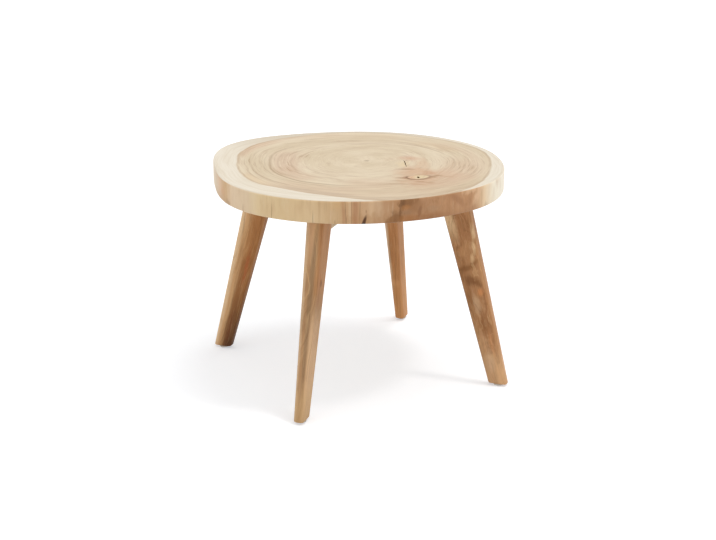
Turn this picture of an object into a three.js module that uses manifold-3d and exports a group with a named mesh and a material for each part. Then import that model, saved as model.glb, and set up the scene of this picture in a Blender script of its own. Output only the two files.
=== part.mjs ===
// A round low table: one thick slice of a tree trunk on four splayed, tapered legs.
// Millimetres, +Z up. The origin is on the floor, under the middle of the slice.
// Each leg carries a wooden block behind its head. Two bolts go up through the block
// into threaded inserts in the slice, and two screws hold the block to the leg.

import * as THREE from "three";
import { mergeVertices } from "three/addons/utils/BufferGeometryUtils.js";
import Module from "manifold-3d";

// The whole table
const tableHeight = 478;
const seatGap = 0.3; // left between two pieces that touch
const cutOverrun = 1; // how far a cutter runs past the face that it opens

// The slice. Its live edge is a circle with low lobes: how many go round the trunk,
// how far each stands out as a share of the mean radius, and where its crest lies.
const sliceDiameter = 650;
const sliceThickness = 48;
const sliceEdgeRadius = 4;
const sliceLobeShares = [
  { lobes: 2, swing: 0.006, crestDegrees: 102 },
  { lobes: 3, swing: 0.0173, crestDegrees: -8 },
  { lobes: 4, swing: 0.0205, crestDegrees: 31 },
  { lobes: 5, swing: 0.0062, crestDegrees: -18 },
  { lobes: 6, swing: 0.0052, crestDegrees: 5 },
];
const slicePoints = 120;
const easingSteps = 3;

// A leg's section is level: depth runs outwards from the table's middle, width across.
const legFootOverhang = 11; // from the slice's mean edge out to the leg's centre line at the floor
const legHeadInset = 105; // from the slice's mean edge in to the leg's centre line under the slice
const legFootDepth = 42;
const legFootWidth = 22;
const legFootCorner = 7;
const legHeadDepth = 64;
const legHeadWidth = 39;
const legHeadCorner = 10;
const legFootEasing = 2;
const cornerSteps = 5;

// The mounting block behind a leg's head
const blockHeight = 48;
const blockWidth = 32;
const blockEasing = 1.5;

// Bolts, washers and inserts: two of each in a row under every block
const boltDiameter = 8;
const boltEngagement = 19; // how far a bolt reaches into its insert
const boltHeadDiameter = 14;
const boltHeadHeight = 4.4;
const boltTipChamfer = 1.2;
const boltSocketWidth = 5;
const boltSocketDepth = 2.6;
const boltHoleClearance = 0.5;
const boltEdgeDistance = 13; // from the outer bolts to the block's inner and outer face
const washerDiameter = 19;
const washerThickness = 1.6;
const washerSpace = 3; // between the two washers of a block
const insertWall = 3;
const insertLength = 25;
const insertSink = 0.5;
const insertChamfer = 1;
const insertRidgeHeight = 1;
const insertRidgePitch = 7.5;

// Wood screws from the block into the leg
const screwDiameter = 4.5;
const screwBite = 19.5; // how far a screw reaches into the leg
const screwHeadDiameter = 9;
const screwHeadDepth = 3.2;
const screwHeadLand = 0.5;
const screwTipLength = 5;
const screwSpacing = 20;
const screwSlotLength = 4.4;
const screwSlotWidth = 1;
const screwSlotDepth = 1.8;

// The glide under a foot and its nail
const glideDiameter = 21;
const glideHeight = 5;
const glideSoleDiameter = 14;
const nailDiameter = 2;
const nailLength = 20;
const nailHeadDiameter = 6;
const nailHeadHeight = 1.2;
const nailHeadSink = 0.5; // from the floor to the nail's head
const nailPointLength = 3;

// Facets
const roundSides = 16;
const fineSides = 10;
const hexagonSides = 6;

// Heights that follow from the sizes above
const undersideHeight = tableHeight - sliceThickness;
const legTop = undersideHeight - seatGap;
const legBottom = glideHeight + seatGap;
const blockTop = legTop;
const blockBottom = blockTop - blockHeight;
const washerBottom = blockBottom - seatGap - washerThickness;
const boltSeat = washerBottom - seatGap;
const boltTip = undersideHeight + insertSink + boltEngagement;
const boltLength = boltTip - boltSeat;
const insertTop = undersideHeight + insertSink + insertLength;
const screwHeight = (blockTop + blockBottom) / 2;
const glideRecessDepth = nailHeadSink + nailHeadHeight + seatGap;
const nailTip = glideRecessDepth - seatGap + nailLength;

// Reaches and widths that follow from the sizes above. Reach is a distance from the
// table's middle.
const sliceReach = sliceDiameter / 2;
const legFootReach = sliceReach + legFootOverhang;
const legHeadReach = sliceReach - legHeadInset;
const boltSpacing = washerDiameter + washerSpace;
const blockDepth = boltSpacing + 2 * boltEdgeDistance;
const blockInnerFace = legInnerFace(blockTop) - seatGap - blockDepth;
const boltReach = [0, 1].map((place) => blockInnerFace + boltEdgeDistance + place * boltSpacing);
const insertDiameter = boltDiameter + 2 * insertWall;
const boltHoleDiameter = boltDiameter + 2 * boltHoleClearance;
const screwLength = legInnerFace(screwHeight) - blockInnerFace + screwBite;
const screwAcross = [-screwSpacing / 2, screwSpacing / 2];
const glideReach = legSection(legBottom).reach;

const sliceWood = new THREE.MeshStandardMaterial({ color: 0xe1cfb2, roughness: 0.62, metalness: 0 });
const legWood = new THREE.MeshStandardMaterial({ color: 0xa97c54, roughness: 0.58, metalness: 0 });
const blockWood = new THREE.MeshStandardMaterial({ color: 0xd8c2a0, roughness: 0.7, metalness: 0 });
const zincSteel = new THREE.MeshStandardMaterial({ color: 0xb4b6b8, roughness: 0.35, metalness: 1 });
const brass = new THREE.MeshStandardMaterial({ color: 0xc4a257, roughness: 0.4, metalness: 1 });
const milkyPlastic = new THREE.MeshStandardMaterial({ color: 0xdedbd2, roughness: 0.3, metalness: 0 });

const wasm = await Module();
wasm.setup();

function toSolid(geometry) {
  const bare = geometry.clone();
  bare.deleteAttribute("normal");
  bare.deleteAttribute("uv");
  const merged = mergeVertices(bare);
  return new wasm.Manifold(
    new wasm.Mesh({
      numProp: 3,
      vertProperties: merged.getAttribute("position").array,
      triVerts: new Uint32Array(merged.index.array),
    }),
  );
}

function toGeometry(solid) {
  const mesh = solid.getMesh();
  const geometry = new THREE.BufferGeometry();
  geometry.setAttribute("position", new THREE.BufferAttribute(mesh.vertProperties, 3));
  geometry.setIndex(new THREE.BufferAttribute(mesh.triVerts, 1));
  geometry.computeVertexNormals();
  return geometry;
}

// The geometry with each cutter taken out of it.
function cut(geometry, cutters) {
  let solid = toSolid(geometry);
  for (const cutter of cutters) {
    solid = solid.subtract(toSolid(cutter));
  }
  return toGeometry(solid);
}

// A closed body through level rings of points, with a cap fanned from the middle of each end.
function loft(rings) {
  const count = rings[0].length;
  const points = rings.flat();
  const middleOf = (ring) =>
    ring.reduce((sum, point) => sum.add(point), new THREE.Vector3()).divideScalar(count);
  const bottomMiddle = points.length;
  points.push(middleOf(rings[0]));
  const topMiddle = points.length;
  points.push(middleOf(rings[rings.length - 1]));
  const topStart = bottomMiddle - count;
  const faces = [];
  for (let i = 0; i < count; i += 1) {
    const next = (i + 1) % count;
    for (let start = 0; start < topStart; start += count) {
      faces.push(start + i, start + next, start + count + next);
      faces.push(start + i, start + count + next, start + count + i);
    }
    faces.push(bottomMiddle, next, i);
    faces.push(topMiddle, topStart + i, topStart + next);
  }
  const geometry = new THREE.BufferGeometry().setFromPoints(points);
  geometry.setIndex(faces);
  geometry.computeVertexNormals();
  return geometry;
}

// A body turned about the Z axis from a profile of [radius, height] pairs.
function turned(profile, sides) {
  const points = profile.map(([radius, height]) => new THREE.Vector2(radius, height));
  return new THREE.LatheGeometry(points, sides).rotateX(Math.PI / 2);
}

// A plain upright cylinder between two heights, as a cutter.
function upright(diameter, bottom, top, sides) {
  const radius = diameter / 2;
  return turned([[0, bottom], [radius, bottom], [radius, top], [0, top]], sides);
}

function named(name, geometry, material) {
  const mesh = new THREE.Mesh(geometry, material);
  mesh.name = name;
  return mesh;
}

// The live edge seen from above, centred on its own extents.
function liveEdge() {
  const points = [];
  for (let i = 0; i < slicePoints; i += 1) {
    const azimuth = (i / slicePoints) * 2 * Math.PI;
    let swell = 1;
    for (const { lobes, swing, crestDegrees } of sliceLobeShares) {
      swell += swing * Math.cos(lobes * (azimuth - THREE.MathUtils.degToRad(crestDegrees)));
    }
    const radius = sliceReach * swell;
    points.push(new THREE.Vector2(radius * Math.cos(azimuth), radius * Math.sin(azimuth)));
  }
  const middle = new THREE.Box2().setFromPoints(points).getCenter(new THREE.Vector2());
  return points.map((point) => point.sub(middle));
}

// The slice: its bark side stands upright between two eased edges.
function sliceBody() {
  const edge = liveEdge();
  const ringAt = (height, inset) =>
    edge.map((point) => {
      const pulled = point.clone().setLength(point.length() - inset);
      return new THREE.Vector3(pulled.x, pulled.y, height);
    });
  const lower = [];
  const upper = [];
  for (let step = 0; step <= easingSteps; step += 1) {
    const angle = (step / easingSteps) * (Math.PI / 2);
    const inset = sliceEdgeRadius * (1 - Math.sin(angle));
    const rise = sliceEdgeRadius * (1 - Math.cos(angle));
    lower.push(ringAt(undersideHeight + rise, inset));
    upper.unshift(ringAt(tableHeight - rise, inset));
  }
  return loft([...lower, ...upper]);
}

// Where the leg's centre line, inner face and section are at a height above the floor.
function legSection(height) {
  const share = height / undersideHeight;
  const between = (foot, head) => foot + (head - foot) * share;
  return {
    reach: between(legFootReach, legHeadReach),
    depth: between(legFootDepth, legHeadDepth),
    width: between(legFootWidth, legHeadWidth),
    corner: between(legFootCorner, legHeadCorner),
  };
}

function legInnerFace(height) {
  const { reach, depth } = legSection(height);
  return reach - depth / 2;
}

// One level ring of the leg, drawn in by an inset all round.
function legRing(height, inset) {
  const { reach, depth, width, corner } = legSection(height);
  const points = [];
  for (let quarter = 0; quarter < 4; quarter += 1) {
    const outwards = quarter === 0 || quarter === 3 ? 1 : -1;
    const across = quarter < 2 ? 1 : -1;
    for (let step = 0; step <= cornerSteps; step += 1) {
      const angle = (quarter + step / cornerSteps) * (Math.PI / 2);
      points.push(
        new THREE.Vector3(
          reach + outwards * (depth / 2 - corner) + (corner - inset) * Math.cos(angle),
          across * (width / 2 - corner) + (corner - inset) * Math.sin(angle),
          height,
        ),
      );
    }
  }
  return points;
}

// A turned body laid along X, its height 0 at the block's inner face.
function laidOutwards(geometry, across) {
  return geometry.rotateY(Math.PI / 2).translate(blockInnerFace, across, screwHeight);
}

// A cutter for a screw's hole and its countersink, a gap wider than the screw.
function screwHole(across) {
  const radius = screwDiameter / 2 + seatGap;
  const headRadius = screwHeadDiameter / 2 + seatGap;
  const profile = [
    [0, -cutOverrun],
    [headRadius, -cutOverrun],
    [headRadius, screwHeadLand + seatGap],
    [radius, screwHeadDepth + seatGap],
    [radius, screwLength + seatGap],
    [0, screwLength + seatGap],
  ];
  return laidOutwards(turned(profile, fineSides), across);
}

function legBody() {
  const body = loft([
    legRing(legBottom, legFootEasing),
    legRing(legBottom + legFootEasing, 0),
    legRing(legTop, 0),
  ]);
  const nailHole = upright(
    nailDiameter + 2 * seatGap,
    legBottom - cutOverrun,
    nailTip + seatGap,
    fineSides,
  );
  nailHole.translate(glideReach, 0, 0);
  return cut(body, [nailHole, ...screwAcross.map(screwHole)]);
}

// The block's outer face leans with the leg's inner face.
function blockBody() {
  const outline = new THREE.Shape([
    new THREE.Vector2(blockInnerFace, blockBottom),
    new THREE.Vector2(legInnerFace(blockBottom) - seatGap, blockBottom),
    new THREE.Vector2(legInnerFace(blockTop) - seatGap, blockTop),
    new THREE.Vector2(blockInnerFace, blockTop),
  ]);
  const body = new THREE.ExtrudeGeometry(outline, {
    depth: blockWidth - 2 * blockEasing,
    bevelThickness: blockEasing,
    bevelSize: blockEasing,
    bevelOffset: -blockEasing,
    bevelSegments: 2,
  });
  body.translate(0, 0, blockEasing - blockWidth / 2).rotateX(Math.PI / 2);
  const holes = boltReach.map((reach) =>
    upright(boltHoleDiameter, blockBottom - cutOverrun, blockTop + cutOverrun, roundSides)
      .translate(reach, 0, 0),
  );
  return cut(body, [...holes, ...screwAcross.map(screwHole)]);
}

// A button-head bolt with a hexagon socket. Its height 0 is under the head.
function boltBody() {
  const headRadius = boltHeadDiameter / 2;
  const shankRadius = boltDiameter / 2;
  const domeShares = [[0.62, 1], [0.9, 0.66], [1, 0.12]];
  const dome = domeShares.map(([out, down]) => [headRadius * out, -boltHeadHeight * down]);
  const body = turned(
    [
      [0, -boltHeadHeight],
      ...dome,
      [headRadius, 0],
      [shankRadius, 0],
      [shankRadius, boltLength - boltTipChamfer],
      [shankRadius - boltTipChamfer, boltLength],
      [0, boltLength],
    ],
    roundSides,
  );
  const socketCorners = boltSocketWidth / Math.cos(Math.PI / 6);
  const socket = upright(
    socketCorners,
    -boltHeadHeight - cutOverrun,
    boltSocketDepth - boltHeadHeight,
    hexagonSides,
  );
  return cut(body, [socket]);
}

function washerBody() {
  const holeRadius = boltDiameter / 2 + seatGap;
  const rimRadius = washerDiameter / 2;
  return turned(
    [
      [holeRadius, 0],
      [rimRadius, 0],
      [rimRadius, washerThickness],
      [holeRadius, washerThickness],
      [holeRadius, 0],
    ],
    roundSides,
  );
}

// A threaded insert: a sleeve with coarse ridges that bite into the slice.
function insertBody() {
  const holeRadius = boltDiameter / 2 + seatGap;
  const crest = insertDiameter / 2;
  const root = crest - insertRidgeHeight;
  const profile = [[holeRadius, 0], [root, 0]];
  const ridges = Math.floor((insertLength - 2 * insertChamfer) / insertRidgePitch);
  for (let ridge = 0; ridge < ridges; ridge += 1) {
    const foot = insertChamfer + ridge * insertRidgePitch;
    profile.push([root, foot]);
    profile.push([crest, foot + insertRidgePitch / 2]);
  }
  profile.push([root, insertChamfer + ridges * insertRidgePitch]);
  profile.push([root, insertLength], [holeRadius, insertLength], [holeRadius, 0]);
  return turned(profile, roundSides);
}

// A countersunk wood screw with a cross recess, its head's face at height 0.
function screwBody() {
  const radius = screwDiameter / 2;
  const headRadius = screwHeadDiameter / 2;
  const body = turned(
    [
      [0, 0],
      [headRadius, 0],
      [headRadius, screwHeadLand],
      [radius, screwHeadDepth],
      [radius, screwLength - screwTipLength],
      [0, screwLength],
    ],
    fineSides,
  );
  const slotHeight = screwSlotDepth + cutOverrun;
  const slotMiddle = screwSlotDepth - slotHeight / 2;
  const slots = [[screwSlotLength, screwSlotWidth], [screwSlotWidth, screwSlotLength]];
  const cutters = slots.map(([long, wide]) =>
    new THREE.BoxGeometry(long, wide, slotHeight).translate(0, 0, slotMiddle),
  );
  return cut(body, cutters);
}

// The glide: a domed disc, flat on the floor, with a recess for the nail's head.
function glideBody() {
  const recessRadius = nailHeadDiameter / 2 + seatGap;
  const boreRadius = nailDiameter / 2 + seatGap;
  const rimRadius = glideDiameter / 2;
  const soleRadius = glideSoleDiameter / 2;
  const flankShares = [0, 0.35, 0.7, 1];
  const flank = flankShares.map((share) => {
    const angle = (share * Math.PI) / 2;
    return [
      soleRadius + (rimRadius - soleRadius) * Math.sin(angle),
      glideRecessDepth * (1 - Math.cos(angle)),
    ];
  });
  return turned(
    [
      [recessRadius, 0],
      ...flank,
      [rimRadius, glideHeight],
      [boreRadius, glideHeight],
      [boreRadius, glideRecessDepth],
      [recessRadius, glideRecessDepth],
      [recessRadius, 0],
    ],
    roundSides,
  );
}

// The nail, its head's upper face at height 0.
function nailBody() {
  const radius = nailDiameter / 2;
  const headRadius = nailHeadDiameter / 2;
  return turned(
    [
      [0, -nailHeadHeight],
      [headRadius, -nailHeadHeight],
      [headRadius, 0],
      [radius, 0],
      [radius, nailLength - nailPointLength],
      [0, nailLength],
    ],
    fineSides,
  );
}

// One corner of the table, built along +X and then turned to its azimuth.
function cornerUnit(corner, azimuthDegrees) {
  const unit = new THREE.Group();
  unit.rotation.z = THREE.MathUtils.degToRad(azimuthDegrees);
  unit.add(named(`leg_${corner}`, legBody(), legWood));
  unit.add(named(`mounting_block_${corner}`, blockBody(), blockWood));
  ["inner", "outer"].forEach((place, i) => {
    const bolt = named(`block_bolt_${place}_${corner}`, boltBody(), zincSteel);
    bolt.position.set(boltReach[i], 0, boltSeat);
    const washer = named(`bolt_washer_${place}_${corner}`, washerBody(), zincSteel);
    washer.position.set(boltReach[i], 0, washerBottom);
    const insert = named(`threaded_insert_${place}_${corner}`, insertBody(), brass);
    insert.position.set(boltReach[i], 0, undersideHeight + insertSink);
    unit.add(bolt, washer, insert);
  });
  ["right", "left"].forEach((side, i) => {
    const body = laidOutwards(screwBody(), screwAcross[i]);
    unit.add(named(`leg_screw_${side}_${corner}`, body, zincSteel));
  });
  const glide = named(`floor_glide_${corner}`, glideBody(), milkyPlastic);
  glide.position.set(glideReach, 0, 0);
  const nail = named(`glide_nail_${corner}`, nailBody(), zincSteel);
  nail.position.set(glideReach, 0, glideRecessDepth - seatGap);
  unit.add(glide, nail);
  return unit;
}

const cornerDegrees = { front_left: -135, front_right: -45, back_right: 45, back_left: 135 };

// The bores in the slice's underside, deep enough for the inserts and the bolts' tips.
function insertBores() {
  const boreTop = Math.max(insertTop, boltTip) + seatGap;
  const bores = [];
  for (const azimuthDegrees of Object.values(cornerDegrees)) {
    for (const reach of boltReach) {
      const bore = upright(
        insertDiameter + 2 * seatGap,
        undersideHeight - cutOverrun,
        boreTop,
        roundSides,
      );
      bore.translate(reach, 0, 0).rotateZ(THREE.MathUtils.degToRad(azimuthDegrees));
      bores.push(bore);
    }
  }
  return bores;
}

const table = new THREE.Group();
table.add(named("tabletop_slice", cut(sliceBody(), insertBores()), sliceWood));
for (const [corner, azimuthDegrees] of Object.entries(cornerDegrees)) {
  table.add(cornerUnit(corner, azimuthDegrees));
}

export default table;
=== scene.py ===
# %% [markdown]
# # A slice of tree trunk on four splayed legs
# This lesson dresses a low table. Its CAD model is loaded first, and every piece that
# shows is then modelled again, finer, exactly where the CAD model has it: a thick
# round slice of a trunk, four tapered legs, the blocks and bolts that hold them, and
# the plastic glides under the feet. Lengths are metres, as everywhere in Blender.

# %% Load the frame
import math
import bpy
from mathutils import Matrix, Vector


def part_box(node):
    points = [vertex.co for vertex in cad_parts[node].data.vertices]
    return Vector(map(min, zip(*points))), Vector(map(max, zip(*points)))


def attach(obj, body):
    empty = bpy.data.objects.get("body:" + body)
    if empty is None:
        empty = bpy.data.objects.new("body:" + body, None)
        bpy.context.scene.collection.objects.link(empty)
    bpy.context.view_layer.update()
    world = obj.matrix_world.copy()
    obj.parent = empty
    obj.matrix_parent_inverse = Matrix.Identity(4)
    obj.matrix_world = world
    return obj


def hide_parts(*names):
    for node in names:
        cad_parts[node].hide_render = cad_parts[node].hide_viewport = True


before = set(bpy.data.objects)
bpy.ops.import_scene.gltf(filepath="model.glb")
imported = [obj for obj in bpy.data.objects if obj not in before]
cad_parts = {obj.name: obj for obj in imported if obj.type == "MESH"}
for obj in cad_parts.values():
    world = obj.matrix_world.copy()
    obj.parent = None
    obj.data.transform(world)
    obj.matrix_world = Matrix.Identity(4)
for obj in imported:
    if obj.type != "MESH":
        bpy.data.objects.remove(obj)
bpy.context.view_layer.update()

from types import SimpleNamespace

import bmesh
import bpy
from mathutils import Matrix, Vector, noise

MM = 0.001

# %% [markdown]
# ## Where we look from
# The camera is set first, because every later choice is judged through it. It stands
# about three metres away, a little above the top, with a longish lens, so the round
# top turns into a flat ellipse and the legs keep their lean. A camera could also be
# aimed with a tracking constraint; a matrix is used here, because its place, aim and
# slight roll are known.

# %% Camera
camera_place = Vector((-1232.1, -2619.8, 1173.0)) * MM
camera_aim = Vector((0.4054, 0.8599, -0.3100)).normalized()
camera_roll = math.radians(0.25)


def camera_matrix(place, aim, roll):
    """A camera at place that looks along aim, turned about that line by roll."""
    right = aim.cross(Vector((0, 0, 1))).normalized()
    up = right.cross(aim)
    turn = Matrix((right, up, -aim)).transposed().to_4x4()
    return Matrix.Translation(place) @ turn @ Matrix.Rotation(roll, 4, "Z")


camera_data = bpy.data.cameras.new("table_camera")
camera_data.sensor_width = 36
camera_data.lens = 68.16
camera = bpy.data.objects.new("table_camera", camera_data)
camera.matrix_world = camera_matrix(camera_place, camera_aim, camera_roll)
bpy.context.collection.objects.link(camera)
bpy.context.scene.camera = camera
print("camera looks from", [round(v, 3) for v in camera.location])

# %% [markdown]
# ## Hands for modelling
# A few helpers stand in for the mouse. One selects a single piece, one picks vertices,
# edges or faces by a test, one adds a piece, and one fixes a piece's place in its mesh,
# so that each object ends at the origin as the CAD nodes do. Picking by place keeps
# working when an earlier size changes, which picking by index number would not.

# %% Selecting and picking
def begin():
    """Object mode with nothing selected, so an operator only acts on what comes next."""
    if bpy.context.object and bpy.context.object.mode != "OBJECT":
        bpy.ops.object.mode_set(mode="OBJECT")
    bpy.ops.object.select_all(action="DESELECT")


def only(piece):
    """Leaves just this piece selected, in object mode."""
    begin()
    piece.select_set(True)
    bpy.context.view_layer.objects.active = piece


def open_whole(piece):
    """Opens the piece in edit mode with all of it selected."""
    only(piece)
    bpy.ops.object.mode_set(mode="EDIT")
    bpy.ops.mesh.select_all(action="SELECT")


def close():
    """Goes back to object mode."""
    bpy.ops.object.mode_set(mode="OBJECT")


def pick(piece, kind, test):
    """Opens the piece in edit mode with the parts that pass the test selected."""
    only(piece)
    bpy.ops.object.mode_set(mode="EDIT")
    bpy.ops.mesh.select_mode(type=kind)
    bpy.ops.mesh.select_all(action="DESELECT")
    shape = bmesh.from_edit_mesh(piece.data)
    for part in {"VERT": shape.verts, "EDGE": shape.edges, "FACE": shape.faces}[kind]:
        part.select_set(bool(test(part)))
    shape.select_flush_mode()
    bmesh.update_edit_mesh(piece.data)


# %% Adding, placing and finishing
def take(name):
    """The piece that an operator has just added, under its name."""
    piece = bpy.context.object
    piece.name = name
    piece.data.name = name
    return piece


def cube(name):
    """A cube of side 1 about the origin, as a start."""
    begin()
    bpy.ops.mesh.primitive_cube_add(size=1, location=(0, 0, 0))
    return take(name)


def settle(piece):
    """Moves the piece's place, turn and scale into its mesh."""
    only(piece)
    bpy.ops.object.transform_apply(location=True, rotation=True, scale=True)


def face_outwards(piece):
    """Works out the normals again, so that every face points outwards."""
    open_whole(piece)
    bpy.ops.mesh.normals_make_consistent(inside=False)
    close()


def smooth(piece, degrees=32):
    """Rounded faces shade as one, and edges sharper than this stay crisp."""
    only(piece)
    bpy.ops.object.shade_smooth_by_angle(angle=math.radians(degrees))


def copy_of(piece, name, move):
    """A copy of the piece with its own mesh, moved by a matrix."""
    only(piece)
    bpy.ops.object.duplicate()
    copy = take(name)
    copy.matrix_world = move
    settle(copy)
    return copy


def carve(piece, cutters):
    """Takes the cutters out of the piece, and lends it their materials."""
    for cutter in cutters:
        only(piece)
        cut = piece.modifiers.new("carve", "BOOLEAN")
        cut.operation = "DIFFERENCE"
        cut.solver = "EXACT"
        cut.material_mode = "TRANSFER"
        cut.object = cutter
        bpy.ops.object.modifier_apply(modifier=cut.name)
        bpy.data.objects.remove(cutter, do_unlink=True)


# %% Turning and drilling
def turned(name, rings, sides=48):
    """A turned piece: a disc extruded ring by ring, each end scaled to its radius."""
    begin()
    radius, height = rings[0]
    bpy.ops.mesh.primitive_circle_add(
        vertices=sides, radius=radius, fill_type="NGON", location=(0, 0, height))
    piece = take(name)
    settle(piece)
    open_whole(piece)
    for next_radius, next_height in rings[1:]:
        bpy.ops.mesh.extrude_region_move(
            TRANSFORM_OT_translate={"value": (0, 0, next_height - height)})
        ratio = next_radius / radius
        bpy.ops.transform.resize(value=(ratio, ratio, 1), center_override=(0, 0, 0))
        radius, height = next_radius, next_height
    face_outwards(piece)
    return piece


def drill(radius, low, high, place=(0, 0), sides=40, walls=None):
    """A cutter for a straight round hole. It may lend the hole's walls a material."""
    bit = turned("drill", [(radius, low), (radius, high)], sides)
    bit.location = (place[0], place[1], 0)
    settle(bit)
    if walls:
        bit.data.materials.append(walls)
    return bit


# %% Level edges and flat ends
same_height = 0.01 * MM
end_corners = 20


def pick_level_edges(piece, *heights):
    """Selects the level edges that lie at one of the heights."""
    def passes(edge):
        low, high = sorted(vertex.co.z for vertex in edge.verts)
        middle = (low + high) / 2
        return high - low < same_height and any(
            abs(middle - height) < same_height for height in heights)
    pick(piece, "EDGE", passes)


def inset_flat_ends(piece, thickness):
    """A narrow inset keeps both flat ends from shading as if they were domed."""
    for facing in (1, -1):
        pick(piece, "FACE",
             lambda f: f.normal.z * facing > 0.999 and len(f.verts) > end_corners)
        bpy.ops.mesh.inset(thickness=thickness)
    close()


print("faces count as a flat end from", end_corners + 1, "corners")

# %% [markdown]
# ## Reading places from the CAD frame
# Each new piece takes its place from the CAD node that it stands for. The four corners
# are alike, so a piece is made once along +X, at its distance from the middle, and its
# copies are turned to the corners. Typing the places again would also work, but they
# would go stale as soon as the CAD model changed.

# %% Corners and places
corner_turns = {
    "front_left": math.radians(-135),
    "front_right": math.radians(-45),
    "back_right": math.radians(45),
    "back_left": math.radians(135),
}


def place_of(node):
    """A node's distance from the middle, and its lowest and highest point."""
    low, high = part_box(node)
    reach = math.hypot((low[0] + high[0]) / 2, (low[1] + high[1]) / 2)
    return reach, low[2], high[2]


slice_low, slice_high = (Vector(corner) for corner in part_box("tabletop_slice"))
slice_bottom, slice_top = slice_low.z, slice_high.z
print("slice from", round(slice_bottom / MM, 1), "to", round(slice_top / MM, 1), "mm")

# %% [markdown]
# ## The slice: its live edge
# The top is one slice sawn across a trunk. It isn't a true circle: the trunk swells
# where it carried branches. A freehand curve could trace that, but a circle with a
# few low waves round it gives the same outline from three numbers each, and the wood's
# rings can later follow the same waves. The circle is drawn, pushed out to the live
# edge and then extruded upwards in steps, so the side has rings of its own to shape.

# %% Outline of the trunk
# Waves round the edge: how many, how high as a share of the radius, and where the first
# one has its crest, in degrees.
edge_waves = [(2, 0.006, 102), (3, 0.0173, -8), (4, 0.0205, 31), (5, 0.0062, -18), (6, 0.0052, 5)]
mean_radius = 325 * MM
outline_points = 480


def swell(azimuth):
    """How far the trunk stands out at an azimuth, as a share of its mean radius."""
    return 1 + sum(
        size * math.cos(waves * (azimuth - math.radians(crest)))
        for waves, size, crest in edge_waves)


def outline():
    """The live edge, fitted to the CAD slice's own box."""
    points = []
    for i in range(outline_points):
        azimuth = 2 * math.pi * i / outline_points
        radius = mean_radius * swell(azimuth)
        points.append(Vector((radius * math.cos(azimuth), radius * math.sin(azimuth), 0)))
    for axis in range(2):
        low = min(point[axis] for point in points)
        high = max(point[axis] for point in points)
        for point in points:
            share = (point[axis] - low) / (high - low)
            point[axis] = slice_low[axis] + share * (slice_high[axis] - slice_low[axis])
    return points


live_edge = outline()
print("live edge from", round(min(p.length for p in live_edge) / MM),
      "to", round(max(p.length for p in live_edge) / MM), "mm out")

# %% Raise the slice from its outline
side_steps = 8

begin()
bpy.ops.mesh.primitive_circle_add(
    vertices=outline_points, radius=mean_radius, fill_type="NGON", location=(0, 0, 0))
wood_slice = take("wood_slice")
for vertex, place in zip(wood_slice.data.vertices, live_edge):
    vertex.co = (place.x, place.y, slice_bottom)
open_whole(wood_slice)
for step in range(side_steps):
    bpy.ops.mesh.extrude_region_move(
        TRANSFORM_OT_translate={"value": (0, 0, (slice_top - slice_bottom) / side_steps)})
face_outwards(wood_slice)
print("slice has", len(wood_slice.data.polygons), "faces")

# %% Ease both rims
# The sanded edge of a slice is rounded by hand, which a bevel gives.
arris = 4 * MM
pick_level_edges(wood_slice, slice_bottom, slice_top)
bpy.ops.mesh.bevel(offset=arris, offset_type="OFFSET", segments=5, profile=0.5)
inset_flat_ends(wood_slice, arris / 2)
print("slice has", len(wood_slice.data.polygons), "faces after easing")

# %% [markdown]
# ## The slice: its worn side
# Under the bark a trunk is softly fluted, and the drawknife and the sander leave it
# slightly uneven. A displacement texture could do this; here each point of the side
# is drawn in by a fraction of a millimetre, by smooth noise that is long in the
# height and short round the trunk. It only ever moves inwards, so the slice keeps
# the CAD model's size.

# %% Flute the side
side_depth = 0.9 * MM
usual_share = 0.62
# Noise in three finenesses: its scale round the trunk and up it, its start, its share.
side_noise = [(14, 5, 0, 0.38), (55, 4, 7, 0.16), (160, 9, 3, 0.07)]
side_band, side_fade = 7 * MM, 6 * MM      # the side reaches this far in, and fades inwards
still_zone, loose_zone = 40 * MM, 90 * MM  # beside the two axes the edge hardly moves
still_share = 0.35


def drawn_in(place):
    """How far the side lies back at a place."""
    share = usual_share
    for round_scale, up_scale, start, size in side_noise:
        share += size * noise.noise(Vector(
            (place.x * round_scale, place.y * round_scale, place.z * up_scale + start)))
    return max(0.0, share) * side_depth


middle_height = (slice_top + slice_bottom) / 2
deepest = 0
for vertex in wood_slice.data.vertices:
    outwards = Vector((vertex.co.x, vertex.co.y, 0))
    turn = math.atan2(outwards.y, outwards.x) / (2 * math.pi)
    edge_length = live_edge[round(turn * outline_points) % outline_points].length
    into_band = outwards.length - edge_length + side_band
    if into_band > 0:
        off_axis = min(abs(outwards.x), abs(outwards.y))
        loose = min(1, max(0, (off_axis - still_zone) / (loose_zone - still_zone)))
        depth = drawn_in(vertex.co - Vector((0, 0, middle_height))) \
            * min(1, into_band / side_fade) * (still_share + (1 - still_share) * loose)
        vertex.co -= outwards.normalized() * depth
        deepest = max(deepest, depth)
print("side drawn in by up to", round(deepest / MM, 2), "mm")

# %% [markdown]
# ## The slice: bores, crack and knot hole
# Three kinds of hollow are cut into the slice. Eight bores in the underside hold the
# threaded inserts. Fine drying cracks run beside the middle, and a pin hole marks the
# heart of a knot. A bark pocket opens in the lower edge of the side, with a finer split
# to its left. They could be painted on, but a cut catches real shadow and stays in the
# mesh itself, so each is carved with a cutter of its own.

# %% Materials that the cutters lend
# The walls of a crack are darker than the sanded face, and below a band under the top
# they carry painted shade that makes them nearly black. The cutters carry this material
# and the carving hands it to the new faces. Its nodes are made further below.
def bare_material(name):
    """A material with an empty tree that a later cell fills."""
    material = bpy.data.materials.new(name)
    material.use_nodes = True
    material.node_tree.nodes.clear()
    return material


slice_finish = bare_material("end_grain_slice")
crack_walls_shaded = bare_material("crack_walls_with_painted_shade")
bore_finish = bare_material("drilled_wood")
wood_slice.data.materials.append(slice_finish)

# %% Bores for the inserts
overrun = 1 * MM           # how far a cutter stands out of the piece that it cuts
bore_clearance = 0.3 * MM

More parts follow.
